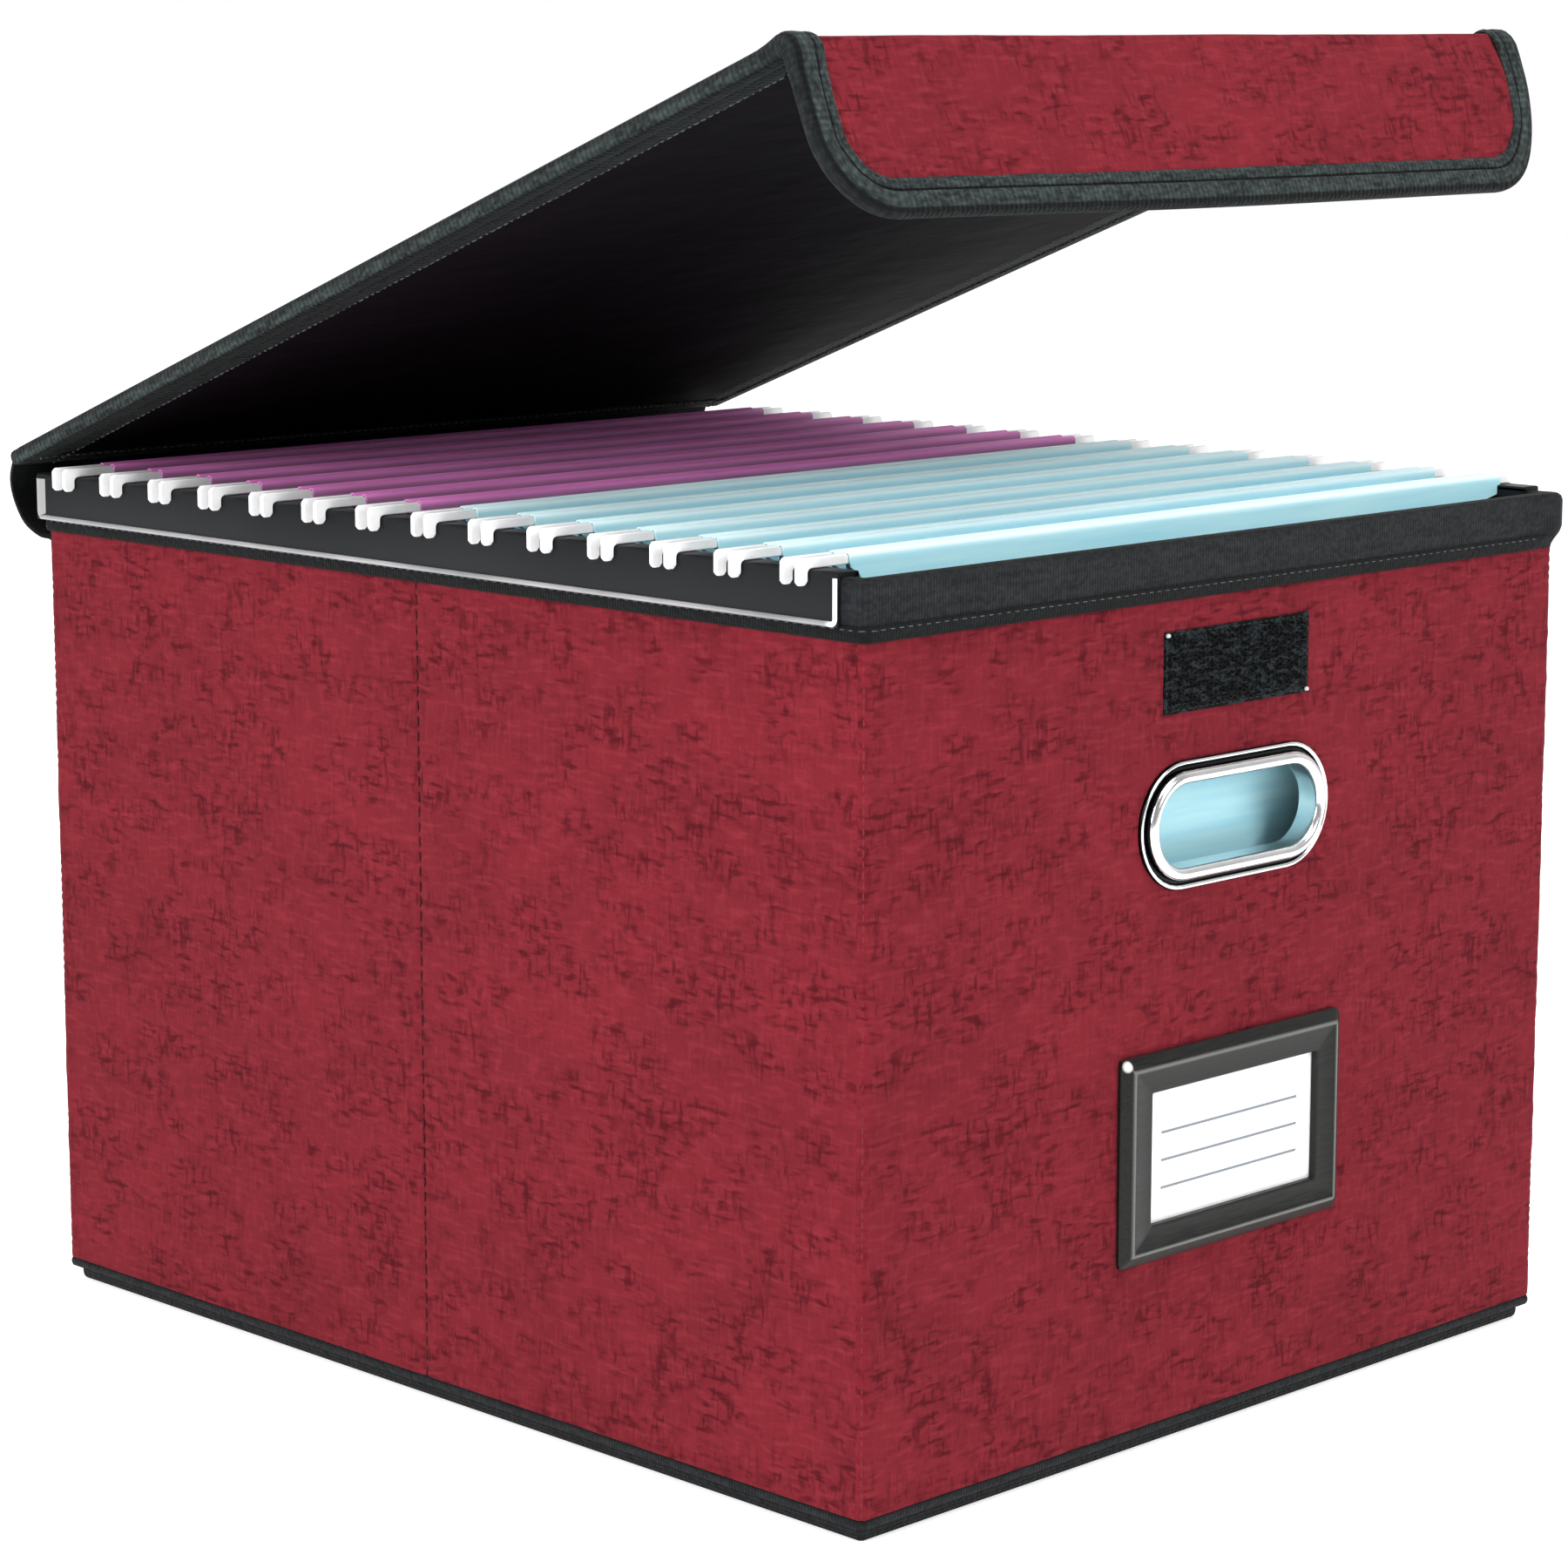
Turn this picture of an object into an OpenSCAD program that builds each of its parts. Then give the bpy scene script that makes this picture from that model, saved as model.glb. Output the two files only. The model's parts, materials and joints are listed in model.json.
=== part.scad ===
// Portable file box: a fabric-covered board box with clip-on folder rails,
// two-piece handle rings, a label holder, a soft-hinged lid with a closing flap
// and a set of hanging folders.
// Millimetres. +Z up, front face towards -Y, origin at the centre of the underside.
// The lid is modelled closed and then swung open about its soft hinge.

/* [Box] */
// Width over the fabric of the two sides
box_w = 318; // [312:1:324]
// Depth over the fabric of the front and back
box_d = 379; // [376:1:384]
// Height from the table to the top of the rim tape
box_h = 275; // [265:1:290]
// Rounding of the upright corners
corner_r = 4; // [3:0.5:6]
// Thickness of the stiff boards in the walls
board_t = 2.4; // [2:0.2:2.6]
// Thickness of the outer fabric
fabric_t = 0.8; // [0.6:0.1:1]
// Thickness of the inner lining
lining_t = 0.6; // [0.4:0.1:0.8]
// Thickness of the wrapped base panel that shows as a dark strip
base_t = 4.8; // [4.4:0.2:5.6]
// How far the base panel sits in from the walls
base_inset = 2.5; // [1.5:0.5:4]

/* [Rim and rails] */
// Height of the rim tape on the outside
rim_h = 17.5; // [15:0.5:20]
// Thickness of the rim tape
tape_t = 0.9; // [0.7:0.1:1]
// Height of the rails' outer skirt
rail_h = 15.2; // [14:0.2:16]
// Wall thickness of the rails
rail_t = 1.3; // [1.2:0.1:1.5]

/* [Handles and label] */
// Height of the handle holes' centre
handle_z = 190; // [180:1:200]
// Length of the handle hole
handle_len = 74; // [70:1:80]
// Height of the handle hole
handle_hole_h = 25; // [22:1:28]
// Width of the label holder
label_w = 103; // [96:1:106]
// Height of the label holder
label_h = 64; // [58:1:66]
// Height of the label holder's centre
label_z = 91; // [80:1:100]

/* [Lid and flap] */
// Opening of the lid as stored
lid_open = 20.55; // [0:0.05:60]
// Width of the lid over its edge tape
lid_w = 325; // [322:1:328]
// Height of the front flap, from the top of the lid
flap_drop = 53; // [48:1:58]
// Rounding of the flap's lower corners
flap_r = 25; // [15:1:30]
// Visible width of the edge tape
edge_w = 11; // [8:1:14]

/* [Folders] */
// Distance from one folder to the next
folder_pitch = 26.2; // [25.6:0.1:26.4]
// Place of the rearmost folder
folder_first_y = 173.5; // [172:0.5:174]
// Thickness of the folders' card
card_t = 0.8; // [0.5:0.1:1]

/* [Hidden] */

hw = box_w / 2;
hd = box_d / 2;
gap = 0.2;                              // loose fit between pieces that move
rim_top = box_h;
wall_top = rim_top - tape_t - 0.1;
wall_low = base_t + 0.1;
wall_t = fabric_t + board_t + lining_t;
board_x = hw - fabric_t - board_t;      // inner face of the side boards
board_y = hd - fabric_t - board_t;      // inner face of the front and back boards
lining_x = board_x - lining_t;
lining_y = board_y - lining_t;
fold_gap = 5;                           // bare strip between the two half boards of a side
base_wrap = 1;                          // fabric round the edge of the base board
base_r = 3;

// handle rings
ring_end = handle_len / 2 - handle_hole_h / 2;    // centre of the rounded ends
hole_r = handle_hole_h / 2;
neck_t = 1.1;
flange_w = 7;
flange_t = 1;
lip_r = 2.1;
cut_r = hole_r + neck_t + 0.2;                    // hole through board, fabric and lining

// label holder
label_bevel = 4;
window_w = 77.5;
window_h = 40.5;
card_w = 83;
card_h = 45.5;
card_gap = 0.9;
slip_t = 0.5;

// press-together patches
patch_w = 67;
patch_h = 24.5;
patch_z = 236;
patch_t = 1.1;

// lid, in its closed place
pivot_y = hd + 4.5;
pivot_z = box_h - 13;
lid_low = 280;
lid_tape = 0.5;
lid_lining_t = 0.5;
lid_board_t = 3.4;
lid_fabric_t = 0.7;
lid_lin_z = lid_low + lid_tape;
lid_board_z = lid_lin_z + lid_lining_t;
lid_fab_z = lid_board_z + lid_board_t;
lid_top = lid_fab_z + lid_fabric_t;
lid_rear = pivot_y + 2.7;
lid_front = -hd - 7.15;
tape_side = 0.45;

// flap, in its closed place
flap_tape = 0.45;
flap_out = lid_front;                             // face of the flap's fabric
flap_board_t = 2.8;
flap_fab_in = flap_out + lid_fabric_t;
flap_board_in = flap_fab_in + flap_board_t;
flap_lin_in = flap_board_in + lid_lining_t;
flap_top = lid_low - 0.3;
flap_low = lid_top - flap_drop;

// hinge strip, as stored
strip_t = 1.2;
strip_r = 12;
strip_y = hd + 8;
strip_z = box_h - 8;
strip_top_a = 54;                       // the loop runs between these two directions
strip_wall_a = -125;
strip_tab = 14;                         // part sewn flat to the back wall

// rails
rail_in_out = hw + tape_t + 0.1;                  // inner face of the outer skirt
rail_out = rail_in_out + rail_t;
rail_in_in = lining_x - tape_t - 0.1;             // wall-side face of the inner skirt
rail_in = rail_in_in - rail_t;
rail_low = rim_top + 0.1 + rail_t - rail_h;
rail_top = rim_top + 0.1 + rail_t;
rail_front = -hd + 8;
rail_rear = hd + 2.6;
bead_out = 0.7;                                   // raised bead along the skirt's edge
bead_w = 1.7;

// folders
hook_top = rail_top + 3.1;
rod_t = 1.4;
rod_y = 2.9;                                      // each rod from the folder's middle
hook_in = rail_out + 0.35;
hook_out = hook_in + 4.2;
hook_low = rail_top - 4.4;
sleeve_x = 146;
sleeve_top = lid_low - 0.1;
sleeve_low = 40;
hem_wall = 0.6;
hem_low = sleeve_top - 10.6;
pocket_y = 4.2;                                   // half of the pocket's clear depth

red = "#8f3038";
black = "#26282a";
board_grey = "#8a8378";
rail_grey = "#37393d";
violet = "#8a4a80";
sky = "#aee0ec";
white = "#f2f3f2";
chrome = "#d4d6d8";

// rear half in violet, front half in light blue
FOLDERS = ["01", "02", "03", "04", "05", "06", "07", "08", "09", "10", "11", "12", "13", "14"];
folder_count = len(FOLDERS);

// ---- shared shapes ----

module slab(x0, x1, y0, y1, z0, z1) {
    translate([x0, y0, z0]) cube([x1 - x0, y1 - y0, z1 - z0]);
}

// plate that is even about the middle plane of the box
module plate(x, y0, y1, z0, z1) {
    slab(-x, x, y0, y1, z0, z1);
}

// children as drawn, and mirrored left to right
module both_sides() {
    children();
    mirror([1, 0, 0]) children();
}

module round_rect(x, y, r) {
    square([2 * (x - r), 2 * y], center = true);
    square([2 * x, 2 * (y - r)], center = true);
    for (sx = [-1, 1])
        for (sy = [-1, 1])
            translate([sx * (x - r), sy * (y - r)]) circle(r = r, $fn = 48);
}

// rounded wall of the outer fabric
module fabric_ring(z0, z1) {
    translate([0, 0, z0]) linear_extrude(z1 - z0) difference() {
        round_rect(hw, hd, corner_r);
        round_rect(hw - fabric_t, hd - fabric_t, corner_r - fabric_t);
    }
}

module stadium(half, r) {
    square([2 * half, 2 * r], center = true);
    for (s = [-1, 1]) translate([s * half, 0]) circle(r = r, $fn = 64);
}

// stadium plate lying in the XZ plane between two Y values
module stadium_y(half, r, y0, y1, z) {
    translate([0, y1, z]) rotate([90, 0, 0]) linear_extrude(y1 - y0) stadium(half, r);
}

module handle_cut(side) {
    y = side * hd;
    stadium_y(ring_end, cut_r, y - 6, y + 6, handle_z);
}

// a piece of the lid, swung from closed to its stored place
module swung() {
    translate([0, pivot_y, pivot_z]) rotate([-lid_open, 0, 0])
        translate([0, -pivot_y, -pivot_z]) children();
}

// ---- base ----

// the board inside the wrapped base panel
module base_core() {
    rim = base_inset + base_wrap;
    plate(hw - rim, -hd + rim, hd - rim, fabric_t, base_t - fabric_t);
}

module base_board() {
    color(board_grey) base_core();
}

module base_cover() {
    color(black) difference() {
        linear_extrude(base_t) round_rect(hw - base_inset, hd - base_inset, base_r);
        base_core();
    }
}

module insert_board() {
    color(black) plate(lining_x - 2.4, -lining_y + 2.2, lining_y - 2.2, wall_low + 0.9, wall_low + 3.7);
}

// ---- walls ----

module end_board(side) {
    inner = board_y;
    color(board_grey) difference() {
        if (side < 0) plate(hw - corner_r - 0.2, -inner - board_t, -inner, wall_low, wall_top);
        else plate(hw - corner_r - 0.2, inner, inner + board_t, wall_low, wall_top);
        handle_cut(side);
    }
}

module front_board() {
    end_board(-1);
}

module back_board() {
    end_board(1);
}

module half_boards(side) {
    x0 = side < 0 ? -board_x - board_t : board_x;
    color(board_grey) for (s = [-1, 1]) {
        y0 = s < 0 ? -hd + corner_r : fold_gap / 2;
        slab(x0, x0 + board_t, y0, y0 + hd - corner_r - fold_gap / 2, wall_low, wall_top);
    }
}

module left_boards() {
    half_boards(-1);
}

module right_boards() {
    half_boards(1);
}

module end_cover(side) {
    y0 = side < 0 ? -hd - 1 : hd - corner_r;
    color(red) difference() {
        intersection() {
            fabric_ring(wall_low, wall_top);
            slab(-hw - 1, hw + 1, y0, y0 + corner_r + 1, 0, box_h);
        }
        handle_cut(side);
    }
}

module front_cover() {
    end_cover(-1);
}

module back_cover() {
    end_cover(1);
}

module side_cover(side) {
    x0 = side < 0 ? -hw : hw - fabric_t;
    color(red) slab(x0, x0 + fabric_t, -hd + corner_r, hd - corner_r, wall_low, wall_top);
}

module left_cover() {
    side_cover(-1);
}

module right_cover() {
    side_cover(1);
}

module wall_lining() {
    color(black) difference() {
        plate(board_x, -board_y, board_y, wall_low, wall_top);
        plate(lining_x, -lining_y, lining_y, wall_low + lining_t, wall_top + 1);
        handle_cut(-1);
        handle_cut(1);
    }
}

module rim_tape() {
    inner_low = rim_top - 13;
    color(black) difference() {
        translate([0, 0, rim_top - rim_h]) linear_extrude(rim_h)
            round_rect(hw + tape_t, hd + tape_t, corner_r + tape_t);
        plate(lining_x - tape_t, -lining_y + tape_t, lining_y - tape_t, 0, box_h + 1);
        plate(lining_x, -lining_y, lining_y, 0, inner_low);
        linear_extrude(rim_top - tape_t) difference() {
            round_rect(hw, hd, corner_r);
            square([2 * lining_x, 2 * lining_y], center = true);
        }
    }
}

// ---- rails ----

module rail() {
    ease = 0.8;                         // eased outer edge of the top
    plate_x = rail_out + bead_out;
    head = rail_top - 1.5;
    color(rail_grey) union() {
        translate([0, rail_rear, 0]) rotate([90, 0, 0]) linear_extrude(rail_rear - rail_front)
            polygon([[-rail_out, rail_low], [-rail_out, rail_top - ease], [-rail_out + ease, rail_top],
                [-rail_in, rail_top], [-rail_in, rim_top + 0.1], [-rail_in_out, rim_top + 0.1],
                [-rail_in_out, rail_low]]);
        slab(-rail_in_in, -rail_in, rail_front, lining_y - tape_t - 0.4, rim_top - 13, rail_top);
        slab(-plate_x, -rail_out, rail_front, rail_rear, rail_low, rail_low + bead_w);
        slab(-plate_x, -rail_out, rail_front, rail_front + bead_w, rail_low, head);
        slab(-plate_x, -rail_out, rail_rear - bead_w, rail_rear, rail_low, head);
    }
}

module left_rail() {
    rail();
}

module right_rail() {
    mirror([1, 0, 0]) rail();
}

// ---- handle rings ----

// half section of the ring: distance from the hole's centre line, height off the fabric
module ring_profile() {
    lip_mid = hole_r + neck_t + 0.9;
    translate([hole_r, 0]) square([flange_w, flange_t]);
    translate([hole_r, -wall_t - 0.9]) square([neck_t, wall_t + 1.9]);
    translate([lip_mid, flange_t]) circle(r = lip_r, $fn = 48);
}

module ring_keep() {
    translate([hole_r, 0]) square([flange_w, 10]);
    translate([hole_r, -wall_t - 2]) square([neck_t, wall_t + 3]);
}

module racetrack() {
    for (s = [-1, 1])
        translate([s * ring_end, 0, 0]) rotate([0, 0, s > 0 ? -90 : 90])
            rotate_extrude(angle = 180, $fn = 96) intersection() {
                ring_profile();
                ring_keep();
            }
    for (turn = [0, 180])
        rotate([0, 0, turn]) translate([-ring_end, 0, 0]) rotate([90, 0, 90])
            linear_extrude(2 * ring_end) intersection() {
                ring_profile();
                ring_keep();
            }
}

module handle_ring(side) {
    color(chrome) translate([0, side * hd, handle_z]) rotate([side < 0 ? 90 : -90, 0, 0]) racetrack();
}

module handle_backing(side) {
    y0 = side < 0 ? -lining_y : lining_y - flange_t;
    color(chrome) difference() {
        stadium_y(ring_end, hole_r + flange_w - 1, y0, y0 + flange_t, handle_z);
        stadium_y(ring_end, hole_r + neck_t + 0.05, y0 - 1, y0 + flange_t + 1, handle_z);
    }
}

module front_handle_ring() {
    handle_ring(-1);
}

module front_handle_backing() {
    handle_backing(-1);
}

module back_handle_ring() {
    handle_ring(1);
}

module back_handle_backing() {
    handle_backing(1);
}

// ---- label and patch on the front ----

module label_holder() {
    color("#2f3030") difference() {
        hull() {
            plate(label_w / 2, -hd - 1.4, -hd, label_z - label_h / 2, label_z + label_h / 2);
            plate(label_w / 2 - label_bevel, -hd - label_bevel, -hd,
                label_z - label_h / 2 + label_bevel, label_z + label_h / 2 - label_bevel);
        }
        plate(window_w / 2, -hd - 10, -hd + 1, label_z - window_h / 2, label_z + window_h / 2);
        slab(-card_w / 2 - gap, label_w, -hd - card_gap, -hd + 1,
            label_z - card_h / 2 - gap, label_z + card_h / 2 + gap);
    }
}

module label_card() {
    color(white) plate(card_w / 2, -hd - slip_t - gap, -hd - gap,
        label_z - card_h / 2, label_z + card_h / 2);
}

module loop_patch() {
    color(black) plate(patch_w / 2, -hd - patch_t, -hd, patch_z - patch_h / 2, patch_z + patch_h / 2);
}

// ---- lid ----

module lid_board() {
    color(board_grey) swung()
        plate(lid_w / 2 - tape_side, lid_front + lid_fabric_t, lid_rear, lid_board_z, lid_fab_z);
}

module lid_cover() {
    color(red) swung() {
        plate(lid_w / 2 - tape_side, lid_front, lid_rear, lid_fab_z, lid_top);
        plate(lid_w / 2 - tape_side, lid_front, lid_front + lid_fabric_t, lid_lin_z, lid_top);
    }
}

module lid_lining() {
    color("#1a1218") swung()
        plate(lid_w / 2 - tape_side, lid_front + lid_fabric_t, lid_rear, lid_lin_z, lid_board_z);
}

module lid_edge_tape() {
    color(black) swung() difference() {
        plate(lid_w / 2, lid_front, lid_rear + tape_side, lid_low, lid_top + lid_tape);
        plate(lid_w / 2 - tape_side, lid_front - 1, lid_rear, lid_lin_z, lid_top);
        plate(lid_w / 2 - edge_w, lid_front - 1, lid_rear + tape_side - edge_w, lid_low - 1, lid_top + 2);
    }
}

// strip of fabric that loops from the back wall up to the lid's rear edge
module lid_hinge_strip() {
    reach = 40;
    color(black) translate([-lid_w / 2 + 3, 0, 0]) rotate([90, 0, 90]) linear_extrude(lid_w - 6) {
        translate([strip_y, strip_z]) difference() {
            circle(r = strip_r + strip_t / 2, $fn = 64);
            circle(r = strip_r - strip_t / 2, $fn = 64);
            polygon([[0, 0], reach * [cos(strip_top_a), sin(strip_top_a)], [0, 2 * reach],
                [-2 * reach, 0], reach * [cos(strip_wall_a), sin(strip_wall_a)]]);
        }
        translate([hd + 0.05, rim_top - rim_h - strip_tab]) square([strip_t, strip_tab - 0.2]);
    }
}

// ---- flap ----

// outline of the flap, seen from the front, drawn in from its edge by an inset
module flap_outline(inset) {
    x = lid_w / 2 - inset;
    low = flap_low + inset;
    r = flap_r - inset;
    translate([-x, low + r]) square([2 * x, flap_top - low - r]);
    translate([-x + r, low]) square([2 * (x - r), r + 1]);
    intersection() {
        translate([-x, low]) square([2 * x, r + 1]);
        for (s = [-1, 1]) translate([s * (x - r), low + r]) circle(r = r, $fn = 64);
    }
}

module flap_layer(inset, y0, y1) {
    translate([0, y1, 0]) rotate([90, 0, 0]) linear_extrude(y1 - y0) flap_outline(inset);
}

module flap_board() {
    color(board_grey) swung() flap_layer(flap_tape, flap_fab_in, flap_board_in);
}

module flap_cover() {
    color(red) swung() flap_layer(flap_tape, flap_out, flap_fab_in);
}

module flap_lining() {
    color("#1a1218") swung() flap_layer(flap_tape, flap_board_in, flap_lin_in);
}

module flap_edge_tape() {
    color(black) swung() difference() {
        flap_layer(0, flap_out - flap_tape, flap_lin_in + flap_tape);
        flap_layer(flap_tape, flap_out, flap_lin_in);
        translate([0, 0, 0.5]) flap_layer(edge_w, flap_out - 2, flap_lin_in + 2);
        plate(lid_w / 2 - edge_w, flap_out - 2, flap_lin_in + 2, flap_top - 5, flap_top + 5);
    }
}

module hook_patch() {
    z0 = flap_low + edge_w + 1;
    color(black) swung() plate(patch_w / 2, flap_lin_in, flap_lin_in + 0.95, z0, z0 + 20);
}

// ---- hanging folders ----

// points and the same points mirrored left to right, as one closed outline
function both_halves(p) = concat(p, [for (i = [len(p) - 1 : -1 : 0]) [-p[i][0], p[i][1]]]);

// section of the card, folded round both rods and closed at the bottom
module folder_section() {
    rod_in = rod_y - rod_t / 2 - 0.1;
    rod_out = rod_y + rod_t / 2 + 0.1;
    hem_out = rod_out + hem_wall;
    out = pocket_y + card_t;
    shoulder = hem_low - 12;
    difference() {
        polygon(both_halves([[out, sleeve_low], [out, shoulder], [hem_out, hem_low],
            [hem_out, sleeve_top], [rod_in - hem_wall, sleeve_top], [rod_in - hem_wall, hem_low],
            [hem_out - card_t, hem_low], [pocket_y, shoulder], [pocket_y, sleeve_low + card_t]]));
        both_sides()
            translate([rod_in, hem_low + hem_wall])
                square([rod_out - rod_in, sleeve_top - hem_low - 2 * hem_wall]);
    }
}

function folder_y(i) = folder_first_y - i * folder_pitch;

module folder(i) {
    corner = 5.2;                       // the sleeve's top corners are cut back under the hooks
    drop = 8;
    color(i < folder_count / 2 ? violet : sky) translate([0, folder_y(i), 0]) difference() {
        translate([-sleeve_x, 0, 0]) rotate([90, 0, 90]) linear_extrude(2 * sleeve_x) folder_section();
        both_sides() translate([0, 10, 0]) rotate([90, 0, 0]) linear_extrude(20)
            polygon([[sleeve_x, sleeve_top - 3.4], [sleeve_x - corner, sleeve_top - drop],
                [sleeve_x - corner, 0], [sleeve_x + 1, 0], [sleeve_x + 1, sleeve_top - 3.4]]);
    }
}

// flat rod with an open hook at each end that drops over the rail
module hanger() {
    tip = 1.1;
    rod_low = hem_low + hem_wall + 0.3;
    arch = rail_top + 0.1;
    translate([0, rod_t / 2, 0]) rotate([90, 0, 0]) linear_extrude(rod_t)
        both_sides() polygon([
            [0, rod_low], [sleeve_x - 9, rod_low], [sleeve_x - 5, arch - 1], [sleeve_x - 1, arch],
            [hook_in - 1.1, arch], [hook_in - 0.3, arch - 0.35], [hook_in, arch - 1.1],
            [hook_in, hook_low + tip], [hook_in + tip, hook_low], [hook_out - tip, hook_low],
            [hook_out, hook_low + tip], [hook_out, hook_top - tip], [hook_out - tip, hook_top],
            [sleeve_x + 1, hook_top], [sleeve_x, sleeve_top - hem_wall - 0.3],
            [0, sleeve_top - hem_wall - 0.3]]);
}

module hangers(i) {
    color(white) for (s = [-1, 1]) translate([0, folder_y(i) + s * rod_y, 0]) hanger();
}

// ---- output ----

base_board();
base_cover();
insert_board();
front_board();
back_board();
left_boards();
right_boards();
front_cover();
back_cover();
left_cover();
right_cover();
wall_lining();
rim_tape();
left_rail();
right_rail();
front_handle_ring();
front_handle_backing();
back_handle_ring();
back_handle_backing();
label_holder();
label_card();
loop_patch();
lid_board();
lid_cover();
lid_lining();
lid_edge_tape();
lid_hinge_strip();
flap_board();
flap_cover();
flap_lining();
flap_edge_tape();
hook_patch();
for (i = [0 : folder_count - 1]) {
    folder(i);
    hangers(i);
}
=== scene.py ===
"""Looks of a portable file box: red slub-weave panels, woven edge tape, plastic rails, chromed handle
rings, a label holder, a soft-hinged lid with a flap, and hanging folders.

Shapes are written in millimetres in the part's own frame and turned to metres when a mesh is made.
The lid's pieces are drawn closed and swung open to their stored place.
"""

import json
import math

import bmesh
import bpy
from mathutils import Matrix, Vector, noise


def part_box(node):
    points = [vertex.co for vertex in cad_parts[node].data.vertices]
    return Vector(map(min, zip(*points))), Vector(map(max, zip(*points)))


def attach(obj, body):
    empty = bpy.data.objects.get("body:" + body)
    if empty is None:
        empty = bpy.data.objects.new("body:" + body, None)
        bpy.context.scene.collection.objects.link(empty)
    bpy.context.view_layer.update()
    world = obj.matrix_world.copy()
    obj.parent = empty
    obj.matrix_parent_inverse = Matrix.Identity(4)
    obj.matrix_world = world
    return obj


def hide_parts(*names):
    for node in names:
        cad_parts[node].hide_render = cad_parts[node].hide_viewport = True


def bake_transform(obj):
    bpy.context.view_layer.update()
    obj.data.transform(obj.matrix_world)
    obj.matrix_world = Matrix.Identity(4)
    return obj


MM = 0.001

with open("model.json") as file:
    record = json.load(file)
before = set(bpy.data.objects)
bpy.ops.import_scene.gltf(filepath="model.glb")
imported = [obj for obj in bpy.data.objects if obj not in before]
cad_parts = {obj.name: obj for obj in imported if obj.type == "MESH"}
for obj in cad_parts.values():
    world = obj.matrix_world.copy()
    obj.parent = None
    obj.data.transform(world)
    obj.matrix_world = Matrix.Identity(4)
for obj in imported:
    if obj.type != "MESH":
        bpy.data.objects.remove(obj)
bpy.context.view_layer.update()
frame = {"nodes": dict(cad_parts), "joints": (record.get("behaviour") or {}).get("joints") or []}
scene = bpy.context.scene


# ---- sizes, in mm: most are taken from the frame ----

def node_box(name):
    low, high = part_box(name)
    return low / MM, high / MM


def node_face(name):
    """Half width, half height and middle height of a piece on the front wall."""
    low, high = node_box(name)
    return high.x, (high.z - low.z) / 2, (high.z + low.z) / 2


wall_lo, wall_hi = node_box("front_cover")
tape_lo, tape_hi = node_box("rim_tape")
HALF_W = wall_hi.x
HALF_D = -wall_lo.y
WALL_LOW = wall_lo.z
WALL_TOP = wall_hi.z
PIPING_H = 2.5
CLOTH_LOW = WALL_LOW + PIPING_H
RIM_TOP = tape_hi.z
RIM_LOW = tape_lo.z
CORNER_R = 2.4
FABRIC_T = 0.8

ring_half_x, ring_half_z, HANDLE_Z = node_face("front_handle_ring")
FLANGE_W = 7
HOLE_R = ring_half_z - FLANGE_W
RING_END = ring_half_x - FLANGE_W - HOLE_R

# The lid and its flap as they are when closed. The frame holds them swung open.
PIVOT = Vector(next(j["pos_m"] for j in frame["joints"] if j["name"] == "lid_hinge")) / MM
LID_OPEN = math.radians(20.55)
LID_HALF_W = node_box("lid_edge_tape")[1].x
LID_LOW = 280.5
LID_TOP = 285.1
LID_MID = (LID_LOW + LID_TOP) / 2
LID_REAR = 196.7
LID_FRONT = -196.65
FLAP_IN = -192.65
FLAP_MID = (LID_FRONT + FLAP_IN) / 2
FLAP_LOW = 232.1
FLAP_R = 25
TAPE_W = 11


# ---- making meshes ----

def smooth(x):
    x = min(max(x, 0), 1)
    return x * x * (3 - 2 * x)


def spread(low, high, step):
    """Even values from low to high, about a step apart."""
    count = max(1, round((high - low) / step))
    return [low + (high - low) * i / count for i in range(count + 1)]


def arc(cx, cy, radius, start, end, count):
    """Points of a round stretch between two directions in degrees."""
    turns = [math.radians(start + (end - start) * i / count) for i in range(count + 1)]
    return [(cx + radius * math.cos(t), cy + radius * math.sin(t)) for t in turns]


def build(name, points, faces, finish, uvs=None, sharp=35):
    """A piece from points in mm, with a place on its cloth, in mm, for each corner of each face."""
    mesh = bpy.data.meshes.new(name)
    mesh.from_pydata([Vector(p) * MM for p in points], [], faces)
    if uvs:
        layer = mesh.uv_layers.new(name="cloth")
        layer.data.foreach_set("uv", [x for uv in uvs for x in uv])
    return finished(name, mesh, finish, sharp, lambda shell: bmesh.ops.delete(
        shell, geom=[v for v in shell.verts if not v.link_faces], context="VERTS"))


def finished(name, mesh, finish, sharp, clean):
    """A piece of a cleaned mesh, with its faces outward and its angles over sharp degrees kept."""
    shell = bmesh.new()
    shell.from_mesh(mesh)
    clean(shell)
    bmesh.ops.recalc_face_normals(shell, faces=shell.faces)
    shell.to_mesh(mesh)
    shell.free()
    mesh.materials.clear()
    mesh.materials.append(finish)
    mesh.shade_smooth()
    mesh.set_sharp_from_angle(angle=math.radians(sharp))
    return new_object(name, mesh)


def new_object(name, data):
    made = bpy.data.objects.new(name, data)
    scene.collection.objects.link(made)
    return made


def run_lengths(line):
    """How far along a flat line each of its points lies."""
    runs = [0]
    for a, b in zip(line, line[1:]):
        runs.append(runs[-1] + math.dist(a[:2], b[:2]))
    return runs


def settle(piece, slot, body, *stands_for):
    """Sets a piece on the body it moves with and hides the CAD pieces that it stands for. The finish slot is
    not used.
    """
    if stands_for:
        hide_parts(*stands_for)
    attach(piece, body)


def mark(piece, key, values):
    """A named value for each point of a piece, which its finish reads."""
    layer = piece.data.attributes.new(key, "FLOAT", "POINT")
    layer.data.foreach_set("value", values)


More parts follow.
